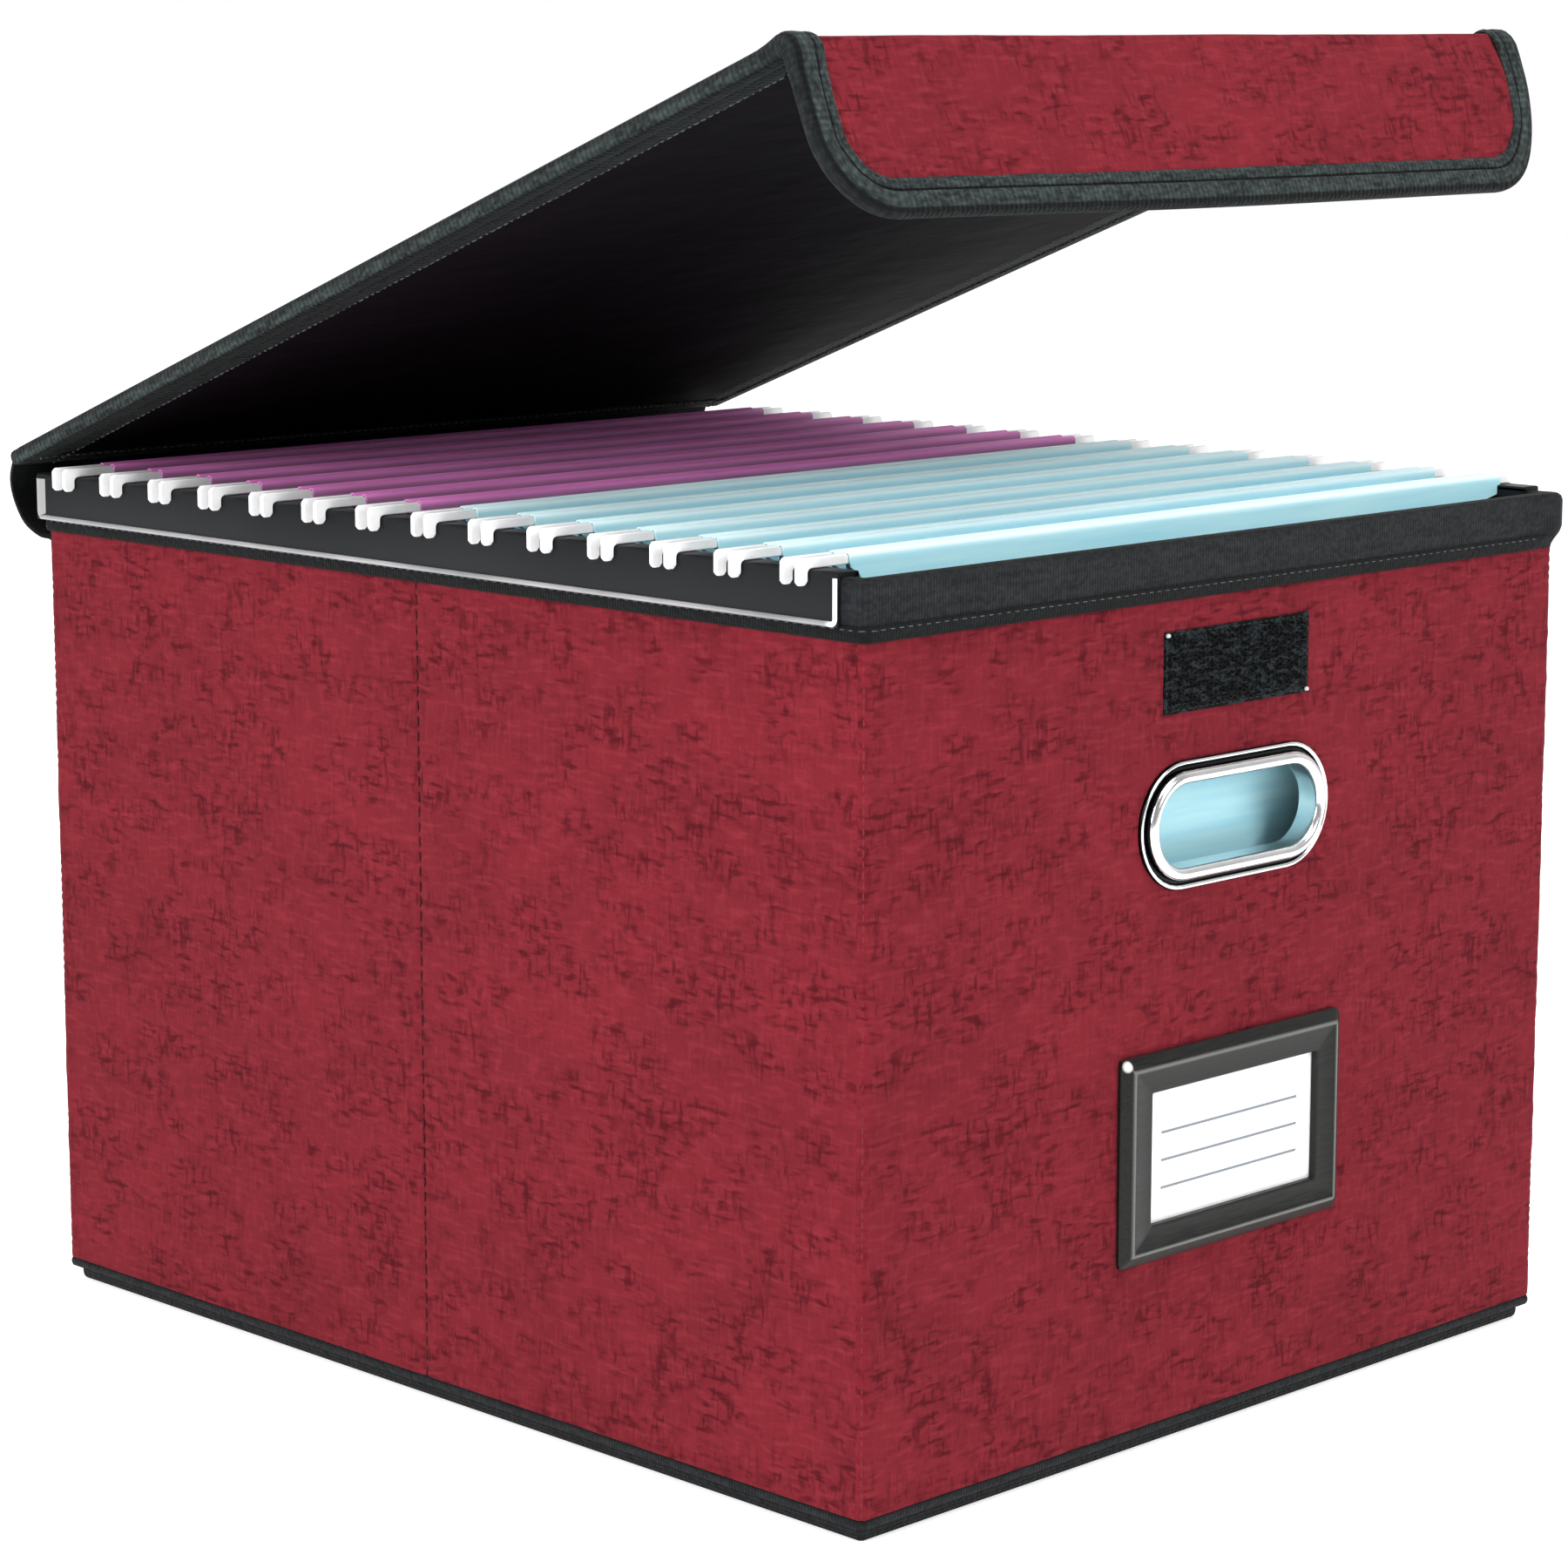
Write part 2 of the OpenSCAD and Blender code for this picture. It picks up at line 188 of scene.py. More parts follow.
def thick_sheet(name, us, vs, surface, thickness, finish, around=0, hole=None):
    """A closed sheet of cloth or board. surface(u, v) gives a point of the outer face, its outward
    normal and its place on the cloth, all in mm. hole(u, v) says where it is cut out. A sheet that
    runs right round meets itself after a length of around."""
    rows = len(vs)
    outer, inner, cloth = [], [], []
    for u in us:
        for v in vs:
            point, normal, place = surface(u, v)
            outer.append(point)
            inner.append(point - normal * thickness)
            cloth.append(place)
    count = len(outer)
    faces, uvs, edges = [], [], {}
    for i in range(len(us) - (0 if around else 1)):
        wraps = i + 1 == len(us)
        after = 0 if wraps else i + 1
        for j in range(rows - 1):
            if hole and hole((us[i] + us[after]) / 2, (vs[j] + vs[j + 1]) / 2):
                continue
            quad = [i * rows + j, after * rows + j, after * rows + j + 1, i * rows + j + 1]
            places = [cloth[k] for k in quad]
            if wraps:
                for k in (1, 2):
                    places[k] = (places[k][0] + around, places[k][1])
            faces.append(quad)
            uvs += places
            faces.append([k + count for k in reversed(quad)])
            uvs += list(reversed(places))
            for k in range(4):
                a, b = quad[k], quad[(k + 1) % 4]
                key = (min(a, b), max(a, b))
                edges[key] = None if key in edges else (a, b, places[k], places[(k + 1) % 4])
    for edge in edges.values():
        if edge:
            a, b, place_a, place_b = edge
            faces.append([b, a, a + count, b + count])
            uvs += [place_b, place_a, place_a, place_b]
    return build(name, outer + inner, faces, finish, uvs)


def loft(name, rings, finish, closed=False, sharp=35, marks=None):
    """A skin over closed outlines of points in mm; the last one joins the first, or the ends are
    capped. The cloth runs along the rings and round them. marks gives named values for the points,
    ring by ring, which the finish reads."""
    count = len(rings[0])
    faces, uvs, run = [], [], 0
    for i in range(len(rings) - (0 if closed else 1)):
        here, there = rings[i], rings[(i + 1) % len(rings)]
        step = (Vector(here[0]) - Vector(there[0])).length
        height = 0
        for j in range(count):
            k = (j + 1) % count
            rise = (Vector(here[j]) - Vector(here[k])).length
            after = (i + 1) % len(rings)
            faces.append([i * count + j, after * count + j, after * count + k, i * count + k])
            uvs += [(run, height), (run + step, height), (run + step, height + rise), (run, height + rise)]
            height += rise
        run += step
    if not closed:
        for ring in (0, len(rings) - 1):
            faces.append([ring * count + j for j in range(count)])
            uvs += [(p[0], p[2]) for p in rings[ring]]
    piece = build(name, [p for ring in rings for p in ring], faces, finish, uvs, sharp)
    for key, values in (marks or {}).items():
        mark(piece, key, values)
    return piece


def join(name, pieces):
    """Several shells as one piece."""
    shells = bmesh.new()
    for piece in pieces:
        shells.from_mesh(piece.data)
    mesh = bpy.data.meshes.new(name)
    shells.to_mesh(mesh)
    shells.free()
    mesh.materials.append(pieces[0].data.materials[0])
    for piece in pieces:
        bpy.data.objects.remove(piece)
    return new_object(name, mesh)


def swung(point):
    """A point of the closed lid, in its stored place."""
    turn = Matrix.Rotation(-LID_OPEN, 3, "X")
    return PIVOT + turn @ (Vector(point) - PIVOT)


def swung_way(direction):
    return Matrix.Rotation(-LID_OPEN, 3, "X") @ Vector(direction)


# ---- materials ----

def linear(hex_colour):
    """An sRGB hex colour as linear light."""
    parts = [int(hex_colour[i:i + 2], 16) / 255 for i in (1, 3, 5)]
    return (*[c / 12.92 if c <= 0.04045 else ((c + 0.055) / 1.055) ** 2.4 for c in parts], 1)


def add(tree, kind, inputs=None, **settings):
    """A node with its settings; an input's value is a socket to link or a plain value. A shader node
    goes by its short name."""
    made = tree.nodes.new(kind if "Node" in kind else "ShaderNode" + kind)
    for name, value in settings.items():
        setattr(made, name, value)
    for key, value in (inputs or {}).items():
        if isinstance(value, bpy.types.NodeSocket):
            tree.links.new(value, made.inputs[key])
        else:
            made.inputs[key].default_value = value
    return made


def new_finish(name, roughness, **sockets):
    """A material and its tree, with the main shader's plain values set."""
    material = bpy.data.materials.new(name)
    material.use_nodes = True
    shader = material.node_tree.nodes["Principled BSDF"]
    shader.inputs["Roughness"].default_value = roughness
    for key, value in sockets.items():
        shader.inputs[key.replace("_", " ").title().replace("Ior", "IOR")].default_value = value
    return material, material.node_tree


def painted(material, colour, height=None, depth=0.0, rough=None):
    """Gives a material its colour, relief from a height of 0 to 1 with a depth in mm, and its
    roughness where that varies."""
    tree = material.node_tree
    shader = tree.nodes["Principled BSDF"].inputs
    tree.links.new(colour, shader["Base Color"])
    if rough is not None:
        tree.links.new(rough, shader["Roughness"])
    if height is not None:
        bump = add(tree, "Bump", {"Height": height, "Distance": depth * MM, "Strength": 1.0})
        tree.links.new(bump.outputs[0], shader["Normal"])
    return material


def cloth_place(tree):
    """Place on the cloth in mm."""
    return add(tree, "UVMap", uv_map="cloth").outputs[0]


def object_place(tree):
    """Place in the part's frame in mm."""
    place = add(tree, "TexCoord").outputs["Object"]
    return add(tree, "VectorMath", {0: place, 1: (1000, 1000, 1000)}, operation="MULTIPLY").outputs[0]


def streaks(tree, place, length, width, low, high, shift=0, detail=2):
    """Broken streaks of a given length and width in mm along the first axis, from 0 to 1."""
    scaled = add(tree, "Mapping", {
        "Vector": place, "Location": (shift, shift * 1.7, shift * 0.6),
        "Scale": (1 / length, 1 / width, 1 / width)})
    cloud = add(tree, "TexNoise", {"Vector": scaled.outputs[0], "Scale": 1, "Detail": detail})
    return ramp(tree, cloud.outputs["Fac"], low, high)


def axes(tree, place):
    """The x, y and z of a place."""
    return add(tree, "SeparateXYZ", {0: place}).outputs


def turned(tree, place):
    """The same place with its first two axes swapped."""
    x, y, z = axes(tree, place)
    return add(tree, "CombineXYZ", {0: y, 1: x}).outputs[0]


def ribs(tree, place, pitch, axis="X"):
    """A smooth wave with its crests a pitch apart, from 0 to 1."""
    return add(tree, "TexWave", {"Vector": place, "Scale": 2 * math.pi / (20 * pitch)},
               bands_direction=axis, wave_type="BANDS", wave_profile="SIN").outputs["Fac"]


def blend_colour(tree, amount, first, second):
    mix = add(tree, "Mix", {0: amount}, data_type="RGBA", blend_type="MIX")
    for index, colour in ((6, first), (7, second)):
        if isinstance(colour, bpy.types.NodeSocket):
            tree.links.new(colour, mix.inputs[index])
        else:
            mix.inputs[index].default_value = linear(colour)
    return mix.outputs[2]


def calc(tree, how, a, b=0.0):
    return add(tree, "Math", {0: a, 1: b}, operation=how).outputs[0]


def tinted(tree, colour, amount, share, hue):
    """A colour turned towards another by a share of an amount."""
    return blend_colour(tree, calc(tree, "MULTIPLY", amount, share), colour, hue)


def ramp(tree, value, start, end, low=0.0, high=1.0):
    """A value that runs from low to high while another runs from start to end."""
    return add(tree, "MapRange", {
        "Value": value, "From Min": start, "From Max": end, "To Min": low, "To Max": high}).outputs[0]


def apart(tree, a, b):
    """Distance between a value and a number."""
    return calc(tree, "ABSOLUTE", calc(tree, "SUBTRACT", a, b))


def red_slub_weave():
    """Polyester linen: uneven yarns both ways give short dark and light dashes that cross, gathered in
    loose groups, and the fibre ends a faint sheen. The yarns are about 0.5 mm apart; the slubs are drawn
    2 mm wide, so that they show."""
    material, tree = new_finish("woven_slub_polyester_red", 0.9, sheen_weight=0.02, sheen_roughness=0.5,
                                specular_ior_level=0.06)
    place = cloth_place(tree)
    across = turned(tree, place)
    groups = streaks(tree, place, 17, 11, 0.36, 0.62, shift=71, detail=1)
    dark_weft = calc(tree, "MULTIPLY", streaks(tree, place, 6.5, 2.1, 0.5, 0.68, detail=1), groups)
    dark_warp = calc(tree, "MULTIPLY", streaks(tree, across, 5.5, 1.9, 0.52, 0.7, shift=31, detail=1), groups)
    light_weft = streaks(tree, place, 8, 1.9, 0.5, 0.74, shift=57, detail=1)
    light_warp = streaks(tree, across, 6.5, 1.8, 0.52, 0.76, shift=83, detail=1)
    yarns = streaks(tree, place, 1.1, 0.75, 0.3, 0.7, shift=19)
    cloud = streaks(tree, place, 38, 26, 0.3, 0.7, shift=11, detail=3)
    colour = blend_colour(tree, cloud, "#681b24", "#741f28")
    for dashes, share, hue in (
            (yarns, 0.3, "#5d1720"), (light_weft, 0.38, "#872c36"), (light_warp, 0.3, "#832a34"),
            (dark_weft, 0.8, "#430a12"), (dark_warp, 0.7, "#450b13")):
        colour = tinted(tree, colour, dashes, share, hue)
    slubs = calc(tree, "SUBTRACT", light_weft, dark_weft)
    slubs = calc(tree, "ADD", slubs, calc(tree, "SUBTRACT", light_warp, dark_warp))
    return painted(material, colour, calc(tree, "ADD", yarns, slubs), 0.07)


def ribbed_tape(name, dark, light, pitch=1.2, depth=0.16):
    """Grosgrain: weft ribs straight across the tape catch the light one by one, with painted shade between
    them, and handling leaves paler patches. Painted shade makes it black in creases, on undersides and along
    hems, and darker where it is rolled over an edge. The ribs are about 0.8 mm apart and drawn coarser, so
    that they show."""
    material, tree = new_finish(name, 0.75, sheen_weight=0.03, specular_ior_level=0.12)
    place = cloth_place(tree)
    rib = ribs(tree, place, pitch)
    worn = streaks(tree, place, 16, 3, 0.35, 0.72, shift=5, detail=3)
    mottle = streaks(tree, place, 2.4, 1.5, 0.4, 0.62, shift=23)
    colour = tinted(tree, dark, calc(tree, "ADD", worn, mottle), 0.5, light)
    # Painted shade in the grooves between the ribs.
    colour = tinted(tree, colour, calc(tree, "SUBTRACT", 1.0, rib), 0.42, "#08090a")
    # Painted shade from the points' marks: the side rolled over an edge, and creases, undersides and hems.
    for key, share, hue in (("rolled", 0.85, "#0d0d0f"), ("painted_shade", 0.95, "#020303")):
        amount = add(tree, "Attribute", attribute_name=key).outputs["Fac"]
        colour = tinted(tree, colour, amount, share, hue)
    return painted(material, colour, calc(tree, "ADD", calc(tree, "MULTIPLY", rib, 0.6), mottle), depth)


def smooth_lining():
    """Pressed non-woven lining: an almost black, faintly purple skin with a soft shine and small
    dimples from the heated roller."""
    material, tree = new_finish("non_woven_lining_black", 0.78, specular_ior_level=0.06)
    place = cloth_place(tree)
    mottle = streaks(tree, place, 60, 40, 0.3, 0.7, detail=3)
    dimples = calc(tree, "MULTIPLY", ribs(tree, place, 1.6), ribs(tree, place, 1.6, "Y"))
    soft = streaks(tree, place, 22, 14, 0.2, 0.8, shift=3)
    height = calc(tree, "ADD", calc(tree, "MULTIPLY", dimples, 0.12), soft)
    return painted(material, blend_colour(tree, mottle, "#090609", "#0f0a0e"), height, 0.5)


def inner_cloth():
    """The same lining inside the box, matt from the glue, with a plain fine weave."""
    material, tree = new_finish("woven_lining_black", 0.9, sheen_weight=0.1)
    place = object_place(tree)
    mottle = streaks(tree, place, 30, 30, 0.3, 0.7, detail=3)
    colour = blend_colour(tree, mottle, "#0f0f11", "#1a1a1d")
    return painted(material, colour, streaks(tree, place, 1.2, 1.2, 0.3, 0.7), 0.15)


def rail_edge_pvc():
    """Soft edging drawn with the rail: smooth pale grey that takes a bright line of light, with a painted
    highlight that turns it almost white towards its near end."""
    material, tree = new_finish("extruded_soft_pvc_grey", 0.2, ior=1.5, coat_weight=0.4)
    place = turned(tree, object_place(tree))
    cloud = streaks(tree, place, 45, 6, 0.3, 0.7, detail=3)
    # Painted highlight: the last 3 mm at the near end turn almost white.
    near_end_highlight = ramp(tree, axes(tree, place)[0], -177, -180)
    colour = blend_colour(tree, cloud, "#77787a", "#a3a1a2")
    return painted(material, blend_colour(tree, near_end_highlight, colour, "#f2f2f2"))


def bright_chrome():
    """Plated plastic: a mirror with the faint unevenness of the moulding under it. The narrow groove outside
    the lip and the outer edge are painted dark: painted shade and painted dark reflection."""
    material, tree = new_finish("chrome_plated_abs", 0.12, metallic=1)
    place = object_place(tree)
    haze = streaks(tree, place, 6, 6, 0.3, 0.8, detail=3)
    x, y, z = axes(tree, place)
    past_end = calc(tree, "SUBTRACT", calc(tree, "ABSOLUTE", x), RING_END)
    height = calc(tree, "SUBTRACT", z, HANDLE_Z)
    spot = add(tree, "CombineXYZ", {0: calc(tree, "MAXIMUM", past_end, 0.0), 1: height})
    away = add(tree, "VectorMath", {0: spot.outputs[0]}, operation="LENGTH").outputs["Value"]
    away = calc(tree, "SUBTRACT", away, HOLE_R)
    # Painted shade and dark reflection: the groove outside the lip and the outer edge are painted dark.
    groove = calc(tree, "LESS_THAN", apart(tree, away, 4.6), 0.75)
    rim = calc(tree, "GREATER_THAN", away, 6.65)
    colour = blend_colour(tree, haze, "#e9eaeb", "#f6f6f6")
    colour = blend_colour(tree, calc(tree, "MAXIMUM", groove, rim), colour, "#1b1c1d")
    return painted(material, colour, haze, 0.004, rough=ramp(tree, haze, 0, 1, 0.17, 0.26))


def holder_abs():
    """Moulded ABS painted gunmetal: fine brushed streaks and a soft shine on the bevels, with a painted
    highlight as a pale line along the ridge and a near white spot at one corner."""
    material, tree = new_finish("painted_abs_gunmetal", 0.34, specular_ior_level=0.2)
    place = object_place(tree)
    brushed = streaks(tree, place, 7, 0.7, 0.3, 0.7, detail=3)
    low, high = node_box("label_holder")
    half_x, half_z, mid_z = node_face("label_holder")
    ridge_in = 3.9
    x, y, z = axes(tree, place)
    past_x = calc(tree, "SUBTRACT", calc(tree, "ABSOLUTE", x), half_x - ridge_in)
    past_z = calc(tree, "SUBTRACT", apart(tree, z, mid_z), half_z - ridge_in)
    from_highlit_ridge = calc(tree, "ABSOLUTE", calc(tree, "MAXIMUM", past_x, past_z))
    corner = add(tree, "VectorMath", {0: place, 1: (low.x + 1.9, low.y + 1.5, high.z - 1.9)},
                 operation="DISTANCE").outputs["Value"]
    colour = blend_colour(tree, brushed, "#0c0d0c", "#1d1e1c")
    # Painted highlight: a pale line along the ridge.
    colour = blend_colour(tree, ramp(tree, from_highlit_ridge, 0.8, 0.15, 0, 0.36), colour, "#a3a8a2")
    # Painted highlight: a near white spot at the top left corner.
    colour = blend_colour(tree, ramp(tree, corner, 2.0, 0.9), colour, "#f2f3f1")
    return painted(material, colour, brushed, 0.03, rough=ramp(tree, brushed, 0, 1, 0.3, 0.46))


def ruled_card():
    """Smooth white index card with faint printed ruling a few millimetres apart."""
    material, tree = new_finish("ruled_index_card", 0.55)
    place = object_place(tree)
    x, y, z = axes(tree, place)
    pitch, lowest, middle, half_span, half_line = 8.5, 76.5, 89.5, 13.5, 32.0
    turn = calc(tree, "DIVIDE", calc(tree, "SUBTRACT", z, lowest), pitch)
    line = calc(tree, "LESS_THAN", apart(tree, calc(tree, "FRACT", turn), 0.5), 0.05)
    edge = calc(tree, "LESS_THAN", calc(tree, "ABSOLUTE", x), half_line)
    band = calc(tree, "LESS_THAN", apart(tree, z, middle), half_span)
    ruled = calc(tree, "MULTIPLY", calc(tree, "MULTIPLY", line, edge), band)
    fibres = streaks(tree, place, 0.8, 0.5, 0.3, 0.7)
    colour = blend_colour(tree, fibres, "#f4f5f4", "#fdfdfc")
    return painted(material, tinted(tree, colour, ruled, 0.9, "#59646f"), fibres, 0.02)


def folder_card(name, face, shade, fold):
    """Coated hanging-folder card: a smooth tinted face, with a painted highlight that makes its fold
    over the rod paler.
    """
    material, tree = new_finish(name, 0.45, specular_ior_level=0.3)
    place = object_place(tree)
    fibres = streaks(tree, place, 45, 3, 0.3, 0.7, detail=3)
    colour = blend_colour(tree, fibres, face, shade)
    # Painted highlight along the top of the fold over the rod.
    fold_highlight = ramp(tree, axes(tree, place)[2], 277.6, 279.4)
    return painted(material, tinted(tree, colour, fold_highlight, 0.85, fold), fibres, 0.04)


def streaky(name, roughness, colours, length, width, depth, low=0.3, high=0.7, detail=2, lengthwise=False,
            **sockets):
    """A surface of one kind of streak or fleck, between two colours and raised by a depth in mm; along
    the box if lengthwise."""
    material, tree = new_finish(name, roughness, **sockets)
    place = object_place(tree)
    if lengthwise:
        place = turned(tree, place)
    flecks = streaks(tree, place, length, width, low, high, detail=detail)
    return painted(material, blend_colour(tree, flecks, *colours), flecks, depth)


def touch_fastener(name, dark, light):
    """Nylon hook and loop: wiry dark pile, with lighter flecks painted in as highlights where its bends
    glint.
    """
    return streaky(name, 0.5, (dark, light), 3.2, 1.2, 0.3, 0.46, 0.6, specular_ior_level=0.06)


def sewing_thread(name, dark, light):
    """Twisted polyester thread: fine diagonal plies with a dry shine."""
    return streaky(name, 0.7, (dark, light), 0.5, 0.35, 0.1, specular_ior_level=0.2)


RED = red_slub_weave()
TAPE = ribbed_tape("grosgrain_tape_black", "#111315", "#282b2e")
FLAP_TAPE = ribbed_tape("grosgrain_binding_charcoal", "#101415", "#414c4b", pitch=2.0, depth=0.28)
LINING = smooth_lining()
INNER = inner_cloth()
# Extruded PVC: satin slate black with faint drawing lines along its length.
RAIL = streaky("extruded_pvc_slate", 0.4, ("#141618", "#1d1f21"), 90, 0.8, 0.03, lengthwise=True,
               specular_ior_level=0.09)
RAIL_EDGE = rail_edge_pvc()
CHROME = bright_chrome()
HOLDER = holder_abs()
CARD = ruled_card()
# The last colour of each folder card is its painted highlight on the fold.
VIOLET = folder_card("coated_card_violet", "#bf80b3", "#a36b97", "#f08bd6")
SKY = folder_card("coated_card_light_blue", "#c4f6ff", "#aeebfb", "#e6fcff")
# Steel rods in thick white coating: soft gloss, slightly uneven where it ran.
HOOK_WHITE = streaky("powder_coated_steel_white", 0.3, ("#f6f7f8", "#ffffff"), 5, 3, 0.06, detail=3,
                     coat_weight=0.2)
LOOPS = touch_fastener("nylon_loop_pile_black", "#010202", "#22272a")
HOOKS = touch_fastener("nylon_hook_pile_black", "#040505", "#16191b")
RED_THREAD = sewing_thread("sewing_thread_dark_red", "#3a0b11", "#52141c")
BLACK_THREAD = sewing_thread("sewing_thread_charcoal", "#121415", "#34383a")
GREY_THREAD = sewing_thread("sewing_thread_grey", "#2a2d2f", "#6c7072")
PALE_THREAD = sewing_thread("sewing_thread_pale", "#8f9294", "#eceded")
SEAM_THREAD = sewing_thread("sewing_thread_red", "#5e1a23", "#7c2a34")
# Pressed chipboard: dull grey-brown with darker flecks.
BOARD = streaky("pressed_chipboard", 0.95, ("#8e867a", "#6a635a"), 1.5, 1.1, 0.08, 0.45)


# ---- camera, light and floor ----

def make_camera():
    """The camera stands where the photograph was taken from: left of the near corner, a little above."""
    camera = bpy.data.cameras.new("camera")
    camera.sensor_width = 36
    camera.lens = 99.96
    camera.clip_start = 0.01
    holder = new_object("camera", camera)
    holder.location = (-0.99876, -1.00745, 0.42426)
    holder.rotation_euler = (math.radians(80.06), 0, math.radians(-44.69))
    scene.camera = holder


def make_light(name, place, target, size, power):
    light = bpy.data.lights.new(name, "AREA")
    light.size = size
    light.energy = power
    holder = new_object(name, light)
    holder.location = place
    holder.rotation_euler = (Vector(target) - Vector(place)).to_track_quat("-Z", "Y").to_euler()


def make_studio():
    """A bright white wall behind the box and a dimmer room in front of it, with soft lamps to the left,
    in front and above."""
    world = bpy.data.worlds.new("white_wall_and_dim_room")
    world.use_nodes = True
    tree = world.node_tree
    way = add(tree, "TexCoord").outputs["Generated"]
    backward = add(tree, "VectorMath", {0: way, 1: (0.69, 0.7, -0.1)}, operation="DOT_PRODUCT")
    room_level = 0.3
    level = ramp(tree, backward.outputs["Value"], -0.2, 0.6, room_level)
    wall = tree.nodes["Background"]
    wall.inputs["Color"].default_value = (1, 1, 1, 1)
    tree.links.new(level, wall.inputs["Strength"])
    scene.world = world
    make_light("left_lamp", (-1.7, -0.15, 0.9), (0, 0, 0.15), 0.8, 19.5)
    make_light("front_lamp", (0.2, -1.6, 1.05), (0, 0, 0.2), 0.7, 12.5)
    make_light("top_lamp", (-0.3, -0.5, 2.0), (0, 0, 0.3), 1.2, 29)
    scene.view_settings.view_transform = "Standard"


def make_floor():
    """Matt white floor, lit so evenly that it joins the wall behind."""
    half = 6
    mesh = bpy.data.meshes.new("floor")
    mesh.from_pydata([(-half, -half, 0), (half, -half, 0), (half, half, 0), (-half, half, 0)], [],
                     [(0, 1, 2, 3)])
    material, tree = new_finish("painted_floor_white", 0.8, specular_ior_level=0.1,
                                emission_color=(1, 1, 1, 1), emission_strength=0.55)
    grain = streaks(tree, object_place(tree), 20, 20, 0.3, 0.7)
    mesh.materials.append(painted(material, blend_colour(tree, grain, "#f9f9f9", "#fcfcfc")))
    new_object("floor", mesh)


make_camera()
make_studio()
make_floor()


# ---- stitches ----

def new_tree(name, start, numbers, finish, result):
    """A geometry tree with named inputs: the mesh it starts from, numbers, a seed and a material. With
    it come the values it is given."""
    tree = bpy.data.node_groups.new(name, "GeometryNodeTree")
    kinds = [(start, "Geometry")] + [(n, "Float") for n in numbers] + [("Seed", "Int"), (finish, "Material")]
    for label, kind in kinds:
        tree.interface.new_socket(label, in_out="INPUT", socket_type="NodeSocket" + kind)
    tree.interface.new_socket(result, in_out="OUTPUT", socket_type="NodeSocketGeometry")
    return tree, tree.nodes.new("NodeGroupInput").outputs


def end_tree(tree, finish, places):
    """Sets copies of a shape on points, makes them real and gives them their material."""
    placed = add(tree, "GeometryNodeInstanceOnPoints", places)
    real = add(tree, "GeometryNodeRealizeInstances", {0: placed.outputs[0]})
    done = add(tree, "GeometryNodeSetMaterial", {"Geometry": real.outputs[0], "Material": finish})
    add(tree, "NodeGroupOutput", {0: done.outputs[0]})
    return tree


def stitch_tree():
    """Sewn stitches along the edges of a mesh line: one small thread ellipsoid every pitch."""
    tree, given = new_tree("sewn_stitches", "Line", ("Pitch", "Length", "Thickness", "Wander"), "Thread",
                           "Stitches")
    curve = add(tree, "GeometryNodeMeshToCurve", {"Mesh": given["Line"]})
    evenly = add(tree, "GeometryNodeResampleCurve", {"Curve": curve.outputs[0], "Length": given["Pitch"]},
                 mode="LENGTH")
    ball = add(tree, "GeometryNodeMeshUVSphere", {"Segments": 6, "Rings": 5, "Radius": 0.5})
    tangent = add(tree, "GeometryNodeInputTangent")
    along = add(tree, "FunctionNodeAlignRotationToVector", {"Vector": tangent.outputs[0]}, axis="X")
    wander = add(tree, "FunctionNodeRandomValue", {"Seed": given["Seed"]}, data_type="FLOAT")
    limits = [s for s in wander.inputs if s.enabled and s.name in ("Min", "Max")]
    for socket, value in zip(limits, (-1.0, 1.0)):
        socket.default_value = value
    swing = calc(tree, "MULTIPLY", wander.outputs[1], given["Wander"])
    tilt = add(tree, "FunctionNodeAxisAngleToRotation", {"Axis": (0, 0, 1), "Angle": swing})
    facing = add(tree, "FunctionNodeRotateRotation", {0: along.outputs[0], 1: tilt.outputs[0]},
                 rotation_space="LOCAL")
    size = add(tree, "CombineXYZ", {0: given["Length"], 1: given["Thickness"], 2: given["Thickness"]})
    return end_tree(tree, given["Thread"], {
        "Points": evenly.outputs[0], "Instance": ball.outputs["Mesh"],
        "Rotation": facing.outputs[0], "Scale": size.outputs[0]})


def applied(name, line_mesh, tree, values):
    """The plain mesh that a geometry tree makes from a mesh, as a new piece."""
    carrier = new_object(name + "_line", line_mesh)
    modifier = carrier.modifiers.new(name, "NODES")
    modifier.node_group = tree
    for item in tree.interface.items_tree:
        if item.in_out == "INPUT" and item.name in values:
            modifier[item.identifier] = values[item.name]
    bpy.context.view_layer.update()
    evaluated = carrier.evaluated_get(bpy.context.evaluated_depsgraph_get())
    mesh = bpy.data.meshes.new_from_object(evaluated)
    mesh.name = name
    bpy.data.objects.remove(carrier)
    mesh.shade_smooth()
    return new_object(name, mesh)


STITCHES = stitch_tree()


def sew(name, lines, thread, pitch=4.0, length=2.9, thickness=0.55, wander=0.06, seed=1):
    """Rows of stitches along lines of points in mm."""
    points, edges = [], []
    for line in lines:
        first = len(points)
        points += [Vector(p) * MM for p in line]
        edges += [(first + i, first + i + 1) for i in range(len(line) - 1)]
    mesh = bpy.data.meshes.new(name + "_line")
    mesh.from_pydata(points, edges, [])
    return applied(name, mesh, STITCHES, {
        "Pitch": pitch * MM, "Length": length * MM, "Thickness": thickness * MM,
        "Wander": wander, "Seed": seed, "Thread": thread})


# ---- walls ----

def relief(point, depth=0.28):
    """The slight unevenness of cloth glued over board, in mm."""
    p, size = Vector(point), 46
    return depth * noise.noise(p / size) + 0.25 * depth * noise.noise(p / (size * 0.22))


def tuck(z):
    """How far the cloth has rounded in where it turns under the wall's low edge."""
    round_r = 0.7
    below = max(0, round_r - (z - CLOTH_LOW))
    return round_r - math.sqrt(max(round_r ** 2 - below ** 2, 0))


